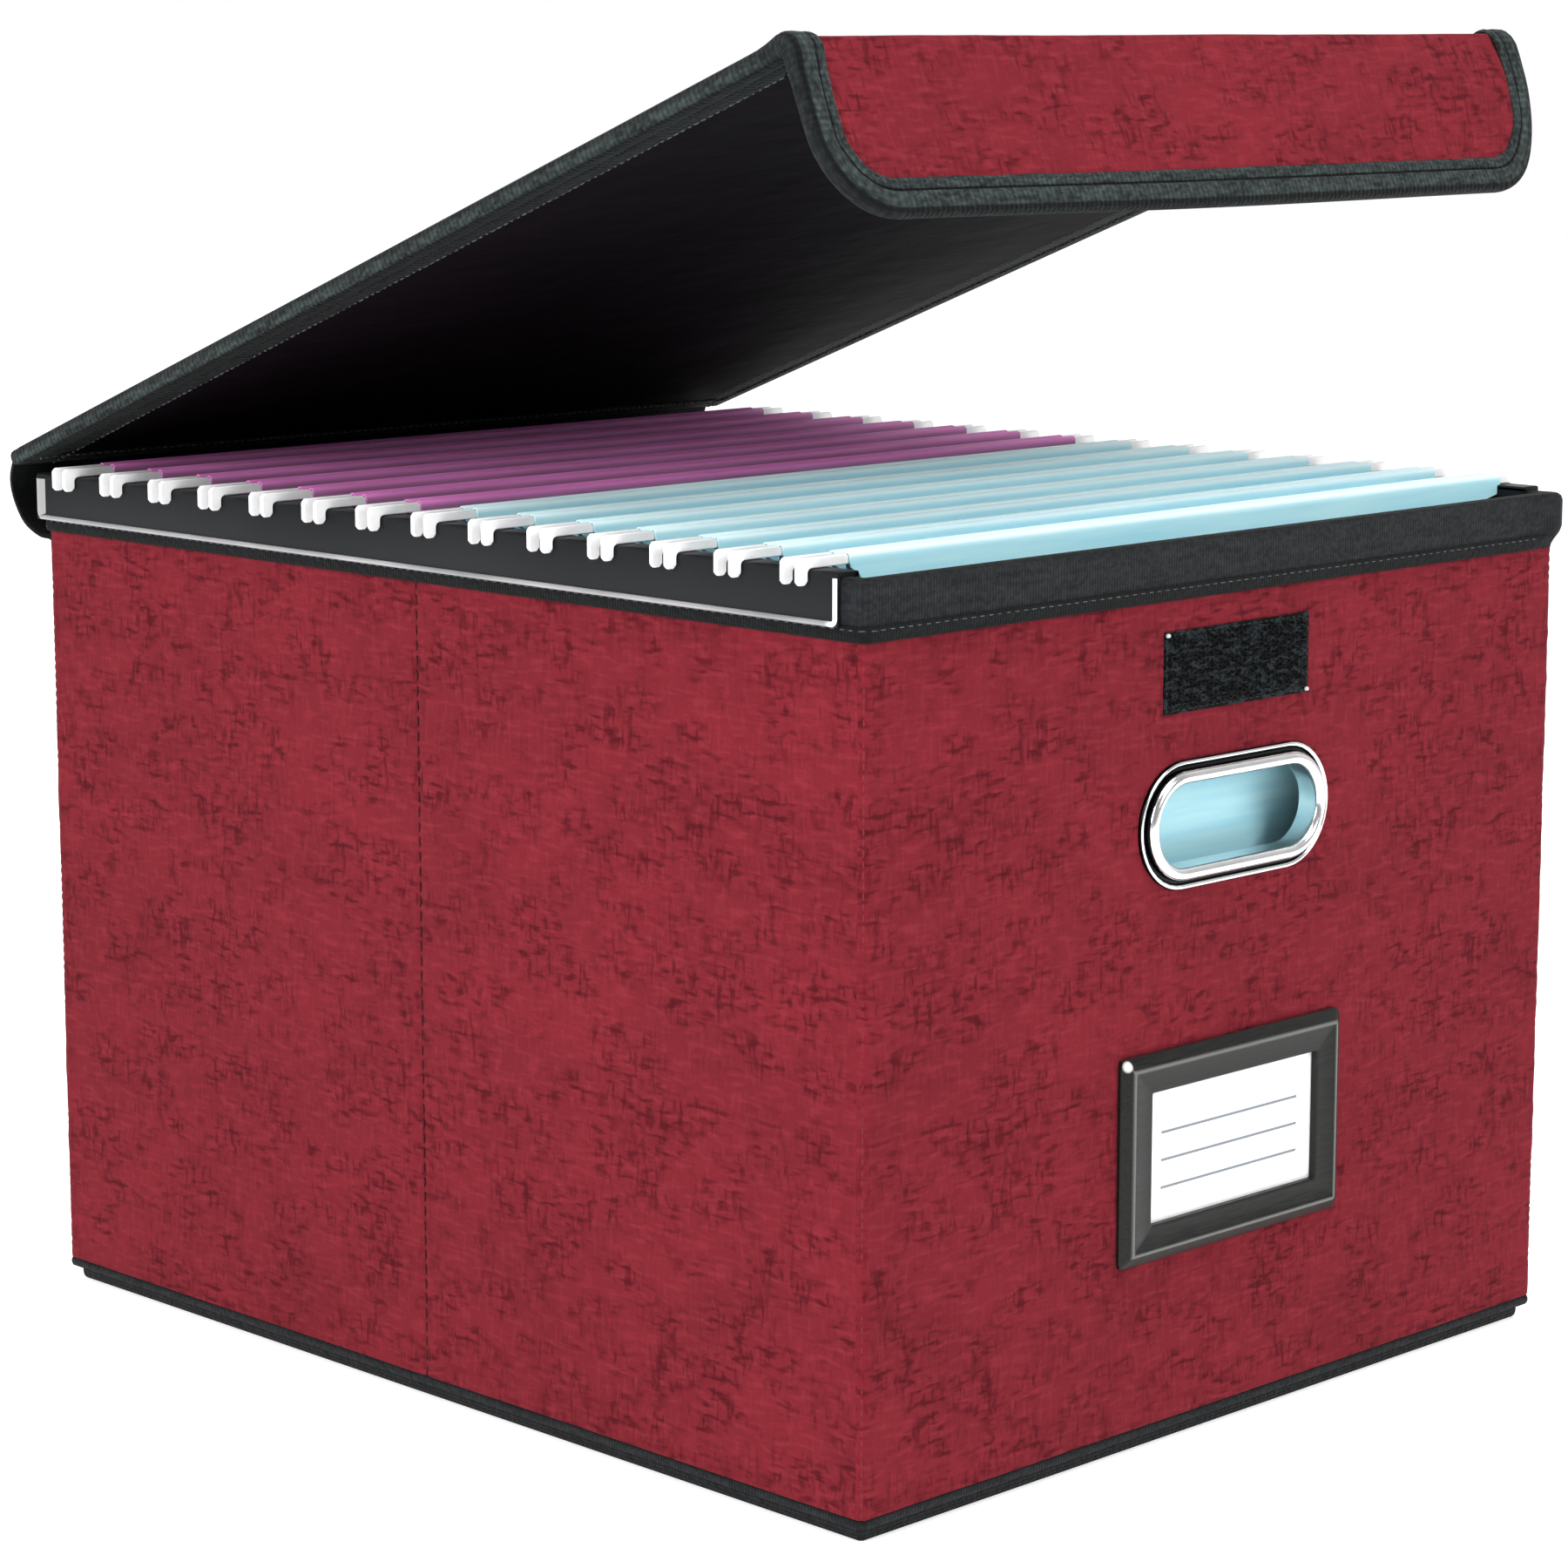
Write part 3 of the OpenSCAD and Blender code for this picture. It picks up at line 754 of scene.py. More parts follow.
def wall_heights():
    near_floor = [CLOTH_LOW + d for d in (0, 0.15, 0.4, 0.8, 2.0)]
    return near_floor + spread(CLOTH_LOW + 4, WALL_TOP, 3)


def in_handle_hole(x, z):
    """True inside the cut under the handle ring's flange."""
    cut_r = HOLE_R + FLANGE_W / 2
    past = max(abs(x) - RING_END, 0)
    return past ** 2 + (z - HANDLE_Z) ** 2 < cut_r ** 2


def wall_cloth(name, across, surface, hole=None):
    """A wall's red cloth, cut to a width."""
    piece = thick_sheet(name + "_fabric", across, wall_heights(), surface, FABRIC_T, RED, hole=hole)
    settle(piece, "red_fabric", "box", name + "_cover")


def end_wall(name, side):
    """Front or back panel with half of each upright corner, where the sewn seam puckers."""
    straight = HALF_W - CORNER_R
    quarter = CORNER_R * math.pi / 2

    def surface(u, z):
        turn = max(abs(u) - straight, 0) / CORNER_R
        way = Vector((math.copysign(math.sin(turn), u), side * math.cos(turn), 0))
        centre = Vector((min(max(u, -straight), straight), side * (HALF_D - CORNER_R), z))
        pucker = 0.28 * noise.noise((z / 3.1, u, 1)) + 0.3 * noise.noise((z / 11, u, 7))
        out = centre + way * CORNER_R
        return out + way * (relief(out) + math.sin(turn * 2) * pucker - tuck(z)), way, (u, z)

    corner = [straight + quarter * i / 6 for i in range(1, 7)]
    across = [-c for c in reversed(corner)] + spread(-straight, straight, 3) + corner
    wall_cloth(name, across, surface, in_handle_hole)


def side_wall(name, side):
    """Side panel: one cloth over two boards, drawn in along the stitched fold between them."""
    def surface(y, z):
        out = Vector((side * HALF_W, y, z))
        seam = 0.4 * math.exp(-(y / 1.2) ** 2)
        return out + Vector((side, 0, 0)) * (relief(out) - seam - tuck(z)), Vector((side, 0, 0)), (y, z)

    end = HALF_D - CORNER_R
    near_seam = [-4, -2.6, -1.6, -0.8, 0, 0.8, 1.6, 2.6, 4]
    lengths = spread(-end, -6, 3) + near_seam + spread(6, end, 3)
    wall_cloth(name, lengths, surface)


def wall_stitches():
    """Rows sewn down the fold in the middle of each side and down the four upright corners."""
    heights = spread(CLOTH_LOW + 2, RIM_LOW - 1, 6)
    folds = [[(side * (HALF_W - 0.2), 0.1 * noise.noise((z / 9, side, 0)), z) for z in heights]
             for side in (-1, 1)]
    reach = CORNER_R * 0.7 - CORNER_R - 0.1
    corners = [[(sx * (HALF_W + reach), sy * (HALF_D + reach), z) for z in heights]
               for sx in (-1, 1) for sy in (-1, 1)]
    for name, lines, thread, pitch, length, thickness in (
            ("side_fold_stitches", folds, RED_THREAD, 4.6, 3.5, 0.8),
            ("corner_stitches", corners, SEAM_THREAD, 3.0, 2.8, 0.6)):
        piece = sew(name, lines, thread, pitch=pitch, length=length, thickness=thickness)
        settle(piece, "red_fabric", "box")


for wall, direction in (("front", -1), ("back", 1)):
    end_wall(wall, direction)
for wall, direction in (("left", -1), ("right", 1)):
    side_wall(wall, direction)
wall_stitches()


# ---- outlines round the box ----

def box_outline(offset, step=4, corner=CORNER_R):
    """Points round the box at an offset from its walls, each with its outward direction, from the
    left end of the front."""
    made = []
    corner_steps = 8
    for turn in range(4):
        start = -90 + 90 * turn
        half_long, away = (HALF_W, HALF_D) if turn % 2 == 0 else (HALF_D, HALF_W)
        along = half_long - corner
        way = Vector((math.cos(math.radians(start)), math.sin(math.radians(start)), 0))
        side = Vector((-way.y, way.x, 0))
        for s in spread(-along, along, step)[:-1]:
            made.append((way * (away + offset) + side * s, way))
        centre = way * (away - corner) + side * along
        for i in range(corner_steps):
            angle = math.radians(start + 90 * i / corner_steps)
            out = Vector((math.cos(angle), math.sin(angle), 0))
            made.append((centre + out * (corner + offset), out))
    return made


def tape_round_box(name, section, swell=None):
    """A closed band round the box. section is its outline as (distance out, height, painted shade)."""
    rings = []
    for point, way in box_outline(0):
        ring = []
        for out, z, painted_shade in section:
            out += swell(point, out, z) if swell else 0
            ring.append(point + way * out + Vector((0, 0, z)))
        rings.append(ring)
    return loft(name, rings, TAPE, closed=True, marks={"painted_shade": [c for out, z, c in section] * len(rings)})


def rim_tape():
    """Woven tape folded over the rim: a flat face, a turned-up hem along its low edge and a soft top."""
    low = RIM_LOW
    # The third value of each point is painted shade: dark along the hem and its fold under the rail, none on
    # the face, about half over the top and down the inner side.
    section = [
        (0.1, low + 0.1, 1), (0.8, low - 0.1, 1), (1.35, low + 0.25, 0.9), (1.6, low + 1.1, 0.8),
        (1.62, low + 2.6, 0.65), (1.45, low + 3.7, 0.65), (1.0, low + 4.2, 0.9), (0.78, low + 4.5, 0.9),
        (0.86, low + 5.1, 0), (0.92, low + 7, 0), (0.93, low + 12, 0), (0.92, low + 15.2, 0),
        (0.78, low + 16.5, 0.1), (0.3, low + 17.3, 0.4), (-0.5, RIM_TOP, 0.5), (-3.2, RIM_TOP, 0.5),
        (-4.1, RIM_TOP - 0.3, 0.4), (-4.55, RIM_TOP - 1.1, 0.3), (-4.65, RIM_TOP - 4, 0.3),
        (-4.65, RIM_TOP - 13, 0.3), (-3.85, RIM_TOP - 13, 0.5), (-3.85, WALL_TOP, 0.5), (0.1, WALL_TOP, 0.5)]

    def swell(point, out, z):
        far_right = smooth(1 - (point - Vector((HALF_W, -HALF_D, 0))).length / 16)
        slope = 0.2 + 3.5 * smooth((z - low) / 7) - 1.4 * smooth((z - RIM_TOP + 1.6) / 1.6)
        return smooth(out + 0.5) * (0.12 * noise.noise(point / 13) + far_right * (slope - max(out, 0)))

    piece = tape_round_box("rim_tape_band", section, swell)
    settle(piece, "black_tape", "box", "rim_tape")


def rim_stitches():
    """A row along the tape's hem."""
    line = [point + Vector((0, 0, RIM_LOW + 3.4)) for point, way in box_outline(1.5)]
    piece = sew("rim_stitches", [line + line[:1]], GREY_THREAD, pitch=3.6, length=2.3, thickness=0.32)
    settle(piece, "black_tape", "box")


def base_panel():
    """Board wrapped in the same dark cloth, with soft edges, standing in a little from the walls."""
    high = node_box("base_cover")[1]
    inset = HALF_W - high.x
    rings, painted_shades = [], []
    # The last value of each ring is painted shade: dark where the cloth curves under at the bottom and at its
    # top edge.
    for drawn_in, z, painted_shade in ((2.2, 0, 1), (1.1, 0.2, 1), (0.45, 0.8, 0.85), (0.1, 1.8, 0.45), (0, 2.8, 0),
                                (0.1, 3.8, 0), (0.8, high.z - 0.2, 0.6), (2, high.z, 1)):
        ring = [point + Vector((0, 0, z)) for point, way in box_outline(-inset - drawn_in, step=9, corner=5)]
        rings.append(ring)
        painted_shades += [painted_shade] * len(ring)
    piece = loft("base_panel_cloth", rings, TAPE, marks={"painted_shade": painted_shades})
    settle(piece, "black_tape", "box", "base_cover")


def base_piping():
    """Strip of the base cloth that is turned up over the low edge of the walls, under the red cloth."""
    low, high = WALL_LOW - 0.3, CLOTH_LOW + 0.2
    # The third value of each point is painted shade, dark at the low and high edges.
    section = [(-0.7, low, 1), (-0.15, low + 0.1, 0.8), (0.2, low + 0.8, 0.2), (0.3, low + 1.4, 0),
               (0.25, high - 1.1, 0), (0.0, high - 0.4, 0.5), (-0.3, high, 1), (-0.7, high, 1)]
    settle(tape_round_box("base_piping", section), "black_tape", "box")


rim_tape()
rim_stitches()
base_panel()
base_piping()


# ---- rails ----

def rails():
    """Rails clipped over the side walls, each a folded channel with a pale soft edging."""
    low, high = node_box("left_rail")
    bead_out = 0.7
    face = -low.x - bead_out
    skirt = 1.3
    inner = -high.x
    ease = 1.1
    top = high.z
    outer_section = (
        [(face - skirt, low.z + 0.2), (face - 0.2, low.z), (face, low.z + 0.3)]
        + arc(face - ease, top - ease, ease, 0, 90, 5)
        + [(inner + 0.4, top), (inner, top - 0.4), (inner, top - skirt), (face - skirt, top - skirt)])
    inner_low = RIM_TOP - 13
    inner_section = [(inner, inner_low), (inner + skirt, inner_low), (inner + skirt, top - 0.6),
                     (inner, top - 0.6)]
    bead_r = 0.85
    corner = 1.6
    near, far = low.y + bead_r, high.y - bead_r
    floor_z, head_z = low.z + bead_r, top - 1.6
    path = (
        [(near, z) for z in spread(head_z, floor_z + corner, 3)]
        + arc(near + corner, floor_z + corner, corner, 180, 270, 5)[1:]
        + [(y, floor_z) for y in spread(near + corner, far - corner, 12)[1:]]
        + arc(far - corner, floor_z + corner, corner, 270, 360, 5)[1:]
        + [(far, z) for z in spread(floor_z + corner, head_z, 3)[1:]])
    for name, side in (("left_rail", -1), ("right_rail", 1)):
        shells = []
        for section, rear in ((outer_section, high.y), (inner_section, HALF_D - 5.1)):
            rings = [[Vector((side * x, y, z)) for x, z in section] for y in spread(low.y, rear, 30)]
            shells.append(loft(name + "_shell", rings, RAIL))
        channel = join(name + "_channel", shells)
        settle(channel, "rail_plastic", "box", name)
        rings = []
        for i, (y, z) in enumerate(path):
            before, after = path[max(i - 1, 0)], path[min(i + 1, len(path) - 1)]
            run = Vector((after[0] - before[0], after[1] - before[1])).normalized()
            out = Vector((-run.y, run.x))
            round_it = [math.radians(a) for a in range(0, 360, 36)]
            rear_turn = smooth((y - far + corner) / corner)
            wide = bead_r * (0.7 + 2.2 * rear_turn + 0.3 * smooth((near + 6 - y) / 5))
            rings.append([
                Vector((side * (face - 0.15 + bead_r * math.cos(a)),
                        y + out.x * wide * math.sin(a) - (wide - bead_r),
                        z + out.y * bead_r * math.sin(a))) for a in round_it])
        edging = loft(name + "_edging", rings, RAIL_EDGE, sharp=60)
        settle(edging, "rail_plastic", "box")


rails()


# ---- handle rings ----

def racetrack():
    """Points round the handle hole, each with its outward direction."""
    steps = 18
    made = []
    for side, start in ((1, -90), (-1, 90)):
        for i in range(steps + 1):
            angle = math.radians(start + 180 * i / steps)
            way = Vector((math.cos(angle), 0, math.sin(angle)))
            made.append((Vector((side * RING_END, 0, 0)) + way * HOLE_R, way))
        for part in (0.2, 0.4, 0.6, 0.8):
            x = side * RING_END * (1 - 2 * part)
            made.append((Vector((x, 0, side * HOLE_R)), Vector((0, 0, side))))
    return made


def handle_ring(name, side):
    """Plated ring: a thin outer flange with a rolled edge, a groove, a fat raised lip and a neck that
    passes through the wall."""
    neck = -4.7
    lip_r = 2.0
    lip_mid = 2.0
    section = (
        [(0.0, neck), (0.0, 0.8)]
        + arc(lip_mid, 1.5, lip_r, 180, 0, 10)
        + [(4.25, 0.55), (5.0, 0.5)]
        + arc(6.15, 0.55, 0.85, 150, -20, 6)
        + [(6.9, 0.0), (1.1, 0.0), (1.1, neck)])
    hub = Vector((0, side * HALF_D, HANDLE_Z))
    rings = []
    for point, way in racetrack():
        rings.append([hub + point + way * a + Vector((0, side * b, 0)) for a, b in section])
    piece = loft(name, rings, CHROME, closed=True, sharp=50)
    settle(piece, "chromed_plastic", "box", name.replace("_plating", ""))


handle_ring("front_handle_ring_plating", -1)
handle_ring("back_handle_ring_plating", 1)


# ---- label holder and patches ----

def rounded_frame(half_x, half_z, radius, depth, centre_z):
    """Points round a rounded rectangle on the front wall, standing out from it by a depth."""
    made = []
    for sx, sz, start in ((1, -1, -90), (1, 1, 0), (-1, 1, 90), (-1, -1, 180)):
        for x, z in arc(sx * (half_x - radius), sz * (half_z - radius), radius, start, start + 90, 5):
            made.append(Vector((x, -HALF_D - depth, centre_z + z)))
    return made


def label_holder():
    """Bevelled frame on three feet; the card slips in behind it from the right."""
    half_x, half_z, mid_z = node_face("label_holder")
    window_x, window_z, slot_t = 38.75, 20.25, 0.95
    steps = [
        (half_x, half_z, 2.6, slot_t), (half_x, half_z, 2.6, 1.3), (half_x - 0.45, half_z - 0.45, 2.4, 1.9),
        (half_x - 3.2, half_z - 3.2, 1.4, 3.45), (half_x - 3.6, half_z - 3.6, 1.2, 3.9),
        (half_x - 4.2, half_z - 4.2, 1.0, 4.0), (half_x - 4.7, half_z - 4.7, 0.9, 3.7),
        (half_x - 5.2, half_z - 5.2, 0.9, 3.4), (window_x + 1.2, window_z + 1.2, 0.8, 3.3),
        (window_x + 0.3, window_z + 0.3, 0.7, 3.1),
        (window_x, window_z, 0.6, 2.7), (window_x, window_z, 0.6, slot_t)]
    rings = [rounded_frame(x, z, r, depth, mid_z) for x, z, r, depth in steps]
    frame_part = loft("label_frame", rings, HOLDER, closed=True, sharp=28)
    foot_w = 4
    feet = []
    for x0, x1, z0, z1 in (
            (-half_x + 0.6, half_x - 1.5, half_z - foot_w, half_z - 0.4),
            (-half_x + 0.6, half_x - 1.5, -half_z + 0.4, -half_z + foot_w),
            (-half_x + 0.4, -half_x + foot_w, -half_z + 1.2, half_z - 1.2)):
        rings = [[Vector((x, -HALF_D - d, mid_z + z)) for x, z in ((x0, z0), (x1, z0), (x1, z1), (x0, z1))]
                 for d in (0, slot_t + 0.2)]
        feet.append(loft("label_foot", rings, HOLDER))
    piece = join("label_holder_frame", [frame_part] + feet)
    settle(piece, "holder_plastic", "box", "label_holder")


def pile_tree():
    """A field of small bent wires on a flat grid: the hooks or loops of a touch fastener."""
    tree, given = new_tree("fastener_pile", "Field", ("Height", "Wire", "Sweep"), "Nylon", "Pile")
    bend = add(tree, "GeometryNodeCurveArc", {
        "Resolution": 5, "Radius": given["Height"], "Sweep Angle": given["Sweep"]})
    wire = add(tree, "GeometryNodeCurvePrimitiveCircle", {"Resolution": 4, "Radius": given["Wire"]})
    skin = add(tree, "GeometryNodeCurveToMesh", {
        "Fill Caps": True, "Curve": bend.outputs[0], "Profile Curve": wire.outputs[0]})
    turn = add(tree, "FunctionNodeRandomValue", {
        0: (1.2, -0.35, -3.1), 1: (1.9, 0.35, 3.1), "Seed": given["Seed"]}, data_type="FLOAT_VECTOR")
    return end_tree(tree, given["Nylon"], {
        "Points": given["Field"], "Instance": skin.outputs[0], "Rotation": turn.outputs[0]})


PILE = pile_tree()


def pile_field(name, half_x, half_z, pitch, height, finish, seed):
    """Pile standing up over a flat patch that faces +Z, about the origin."""
    points = []
    for i, x in enumerate(spread(-half_x, half_x, pitch)):
        for z in spread(-half_z, half_z, pitch):
            jitter = Vector((noise.noise((x, z, seed)), noise.noise((z, x, seed + 9)), 0)) * pitch * 0.3
            points.append((Vector((x, z + (i % 2 - 0.5) * pitch * 0.5, 0)) + jitter) * MM)
    mesh = bpy.data.meshes.new(name + "_field")
    mesh.from_pydata(points, [], [])
    return applied(name, mesh, PILE, {
        "Height": height * MM, "Wire": 0.2 * MM, "Sweep": math.radians(215), "Seed": seed, "Nylon": finish})


def patch_pad(name, half_x, half_z, thickness, finish, place):
    """Woven backing of a patch, with a flat sewn margin round a slightly raised middle."""
    margin = 1.6

    def surface(u, v):
        edge = min(half_x - abs(u), half_z - abs(v))
        rise = thickness * (0.45 + 0.3 * smooth((edge - margin * 0.6) / margin))
        rise += 0.05 * noise.noise((u / 3, v / 3, 4))
        return place(u, v, rise), place(0, 0, 1) - place(0, 0, 0), (u, v)

    def stations(half):
        near_edge = [half, half - 0.4, half - 1, half - margin, half - margin * 1.6, half - 3.4]
        return sorted([-e for e in near_edge] + near_edge + spread(-half + 5, half - 5, 3))

    return thick_sheet(name, stations(half_x), stations(half_z), surface, thickness * 0.4, finish)


def loop_patch():
    """Loop side of the fastener on the front wall, with its sewn edge and two pale knots at opposite
    corners, painted highlights that stand in for glints.
    """
    half_x, half_z, mid_z = node_face("loop_patch")

    def place(u, v, out):
        return Vector((u, -HALF_D - out, mid_z + v))

    pad = patch_pad("loop_patch_backing", half_x, half_z, 1.1, LOOPS, place)
    settle(pad, "touch_fastener", "box", "loop_patch")
    pile = pile_field("loop_patch_pile", half_x - 2.2, half_z - 2.2, 1.9, 0.6, LOOPS, 3)
    upright = Matrix.Rotation(math.radians(90), 4, "X")
    pile.data.transform(Matrix.Translation(place(0, 0, 0.85) * MM) @ upright)
    inset = 1.0
    x, z = half_x - inset, half_z - inset
    corners = [(-x, -z), (x, -z), (x, z), (-x, z), (-x, -z)]
    stitches = sew("loop_patch_stitches", [[place(a, b, 0.55) for a, b in corners]], BLACK_THREAD,
                   pitch=2.6, length=1.9, thickness=0.42, seed=4)
    # Two pale knots at opposite corners: painted highlights standing in for glints.
    ends = [[place(s * x - 0.2, -s * z, 0.85), place(s * x + 0.2, -s * z, 0.85)] for s in (-1, 1)]
    glint_knots = sew("loop_patch_glint_knots", ends, PALE_THREAD, pitch=2.0, length=1.4, thickness=1.3, seed=5)
    for piece in (pile, stitches, glint_knots):
        settle(piece, "touch_fastener", "box")


label_holder()
loop_patch()


# ---- lid and flap ----

def flap_half_width(z, inset):
    """Half width of the closed flap at a height, with its round lower corners."""
    full = LID_HALF_W - inset
    radius = FLAP_R - inset
    below = max(0, FLAP_LOW + FLAP_R - z)
    return full - radius + math.sqrt(max(radius ** 2 - below ** 2, 0))


def flap_drop(z):
    """Share of the way down the flap at a height, starting softly at the fold."""
    return smooth((LID_TOP - 4 - z) / 50) * (LID_TOP - z) / (LID_TOP - FLAP_LOW)


def flap_warp(point):
    """Puts a point of the flap out of true: it bows, and its left end hangs lower."""
    x, y, z = point
    drop = flap_drop(z) if y < -HALF_D else 0
    right = smooth(x / LID_HALF_W)
    left = smooth(-x / LID_HALF_W)
    depth = min(max((LID_TOP - 3 - z) / (LID_TOP - 3 - FLAP_LOW), 0), 1) if y < -HALF_D else 0
    belly = 2.4 * right * math.sin(math.pi * 1.85 * depth) * math.sqrt(1 - depth)
    bow = 1.2 + 1.0 * left - 2.0 * right * drop
    return Vector((x, y - drop * bow - belly, z + drop * (0.6 * left + 1.3 * right)))


def lid_line(front, top, low, turn_r, rear):
    """Section of a cloth that runs over the lid, round its front fold and down the flap, as
    (y, z, outward way) for the closed lid. A negative radius makes the cloth on the inner side."""
    made = []
    r = abs(turn_r)
    side = 1 if turn_r > 0 else -1
    for y in reversed(spread(front + r, rear, 4)):
        made.append((y, top, Vector((0, 0, side))))
    for i in range(1, 6):
        angle = math.radians(90 * i / 6)
        way = Vector((0, -math.sin(angle), math.cos(angle)))
        made.append((front + r - r * math.sin(angle), top - r + r * math.cos(angle), way * side))
    for z in reversed(spread(low, top - r, 3)):
        made.append((front, z, Vector((0, -side, 0))))
    return made


def lid_cloth(name, face, front, top, turn_r, rear, thickness, finish, relief_depth):
    """A cloth over lid and flap, narrowed to the flap's outline. face is cover or lining."""
    inset = 1.2
    line = lid_line(front, top, FLAP_LOW + inset, turn_r, rear)
    runs = run_lengths(line)

    def surface(u, v):
        y, z, way = line[round(v)]
        half = flap_half_width(z, inset) if y < -HALF_D + 2 and z < LID_LOW else LID_HALF_W - inset
        x = u * half
        under_tape = smooth((abs(x) - LID_HALF_W + 26) / 12)
        point = Vector((x, y, z)) + way * relief((x, y, z), depth=relief_depth * (1 - under_tape))
        return swung(flap_warp(point)), swung_way(way), (x, runs[round(v)])

    half_count = round(LID_HALF_W / 4)
    across = [i / half_count for i in range(-half_count, half_count + 1)]
    piece = thick_sheet(name, across, list(range(len(line))), surface, thickness, finish)
    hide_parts("lid_" + face, "flap_" + face)
    across_fold(piece)


def across_fold(piece):
    """Bakes a piece's placement into its mesh."""
    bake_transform(piece)


def flap_core():
    """The flap's stiff board, bent as the cloth over it is."""
    def surface(u, v):
        x = u * flap_half_width(v, 2.2)
        return swung(flap_warp((x, LID_FRONT + 0.8, v))), swung_way((0, -1, 0)), (x, v)

    across = [i / 30 for i in range(-30, 31)]
    heights = spread(FLAP_LOW + 2.2, LID_LOW - 1.5, 4)
    piece = thick_sheet("flap_core", across, heights, surface, 2.6, BOARD)
    settle(piece, "stiff_board", "flap", "flap_board")


def binding_path():
    """The edge of lid and flap, once round: the middle of its thickness, the way in across the panel,
    the way out of its upper face, and half of the panel's thickness."""
    lid_half, flap_half = (LID_TOP - LID_LOW) / 2, (FLAP_IN - LID_FRONT) / 2
    fold_r = flap_half + 0.3
    fold_y, fold_z = LID_FRONT + flap_half + fold_r, LID_MID - fold_r
    up, out = Vector((0, 0, 1)), Vector((0, -1, 0))
    half = []
    for y in reversed(spread(fold_y, LID_REAR - 2, 5)):
        half.append((Vector((-LID_HALF_W, y, LID_MID)), Vector((1, 0, 0)), up, lid_half))
    for i in range(1, 6):
        angle = math.radians(90 * i / 6)
        way = up * math.cos(angle) + out * math.sin(angle)
        middle = Vector((-LID_HALF_W, fold_y, fold_z)) + way * fold_r
        half.append((middle, Vector((1, 0, 0)), way, lid_half + (flap_half - lid_half) * i / 6))
    for z in reversed(spread(FLAP_LOW + FLAP_R, fold_z, 4)):
        half.append((Vector((-LID_HALF_W, FLAP_MID, z)), Vector((1, 0, 0)), out, flap_half))
    for i in range(1, 13):
        angle = math.radians(90 * i / 12)
        inward = Vector((math.cos(angle), 0, math.sin(angle)))
        centre = Vector((-LID_HALF_W + FLAP_R, FLAP_MID, FLAP_LOW + FLAP_R))
        half.append((centre - inward * FLAP_R, inward, out, flap_half))
    bottom = spread(-LID_HALF_W + FLAP_R, 0, 5)[1:]
    for x in bottom:
        half.append((Vector((x, FLAP_MID, FLAP_LOW)), Vector((0, 0, 1)), out, flap_half))
    other = []
    for middle, inward, way, thick in reversed(half[:-1]):
        mirror = Vector((-middle.x, middle.y, middle.z))
        other.append((mirror, Vector((-inward.x, inward.y, inward.z)), way, thick))
    rear = []
    for x in reversed(spread(-LID_HALF_W + 4, LID_HALF_W - 4, 6)):
        rear.append((Vector((x, LID_REAR, LID_MID)), Vector((0, -1, 0)), up, lid_half))
    right = (Vector((LID_HALF_W, LID_REAR, LID_MID)), Vector((-1, -1, 0)), up, lid_half)
    left = (Vector((-LID_HALF_W, LID_REAR, LID_MID)), Vector((1, -1, 0)), up, lid_half)
    return half + other + [right] + rear + [left]


def bunching(middle):
    """How much the tape bunches where it turns over the fold at the front corners, from 0 to 1."""
    fold_way = (middle - Vector((middle.x, LID_FRONT + 3, LID_TOP - 3))).length
    end = smooth((abs(middle.x) - LID_HALF_W + 3) / 3)
    return end * math.exp(-(fold_way / 6.5) ** 2)


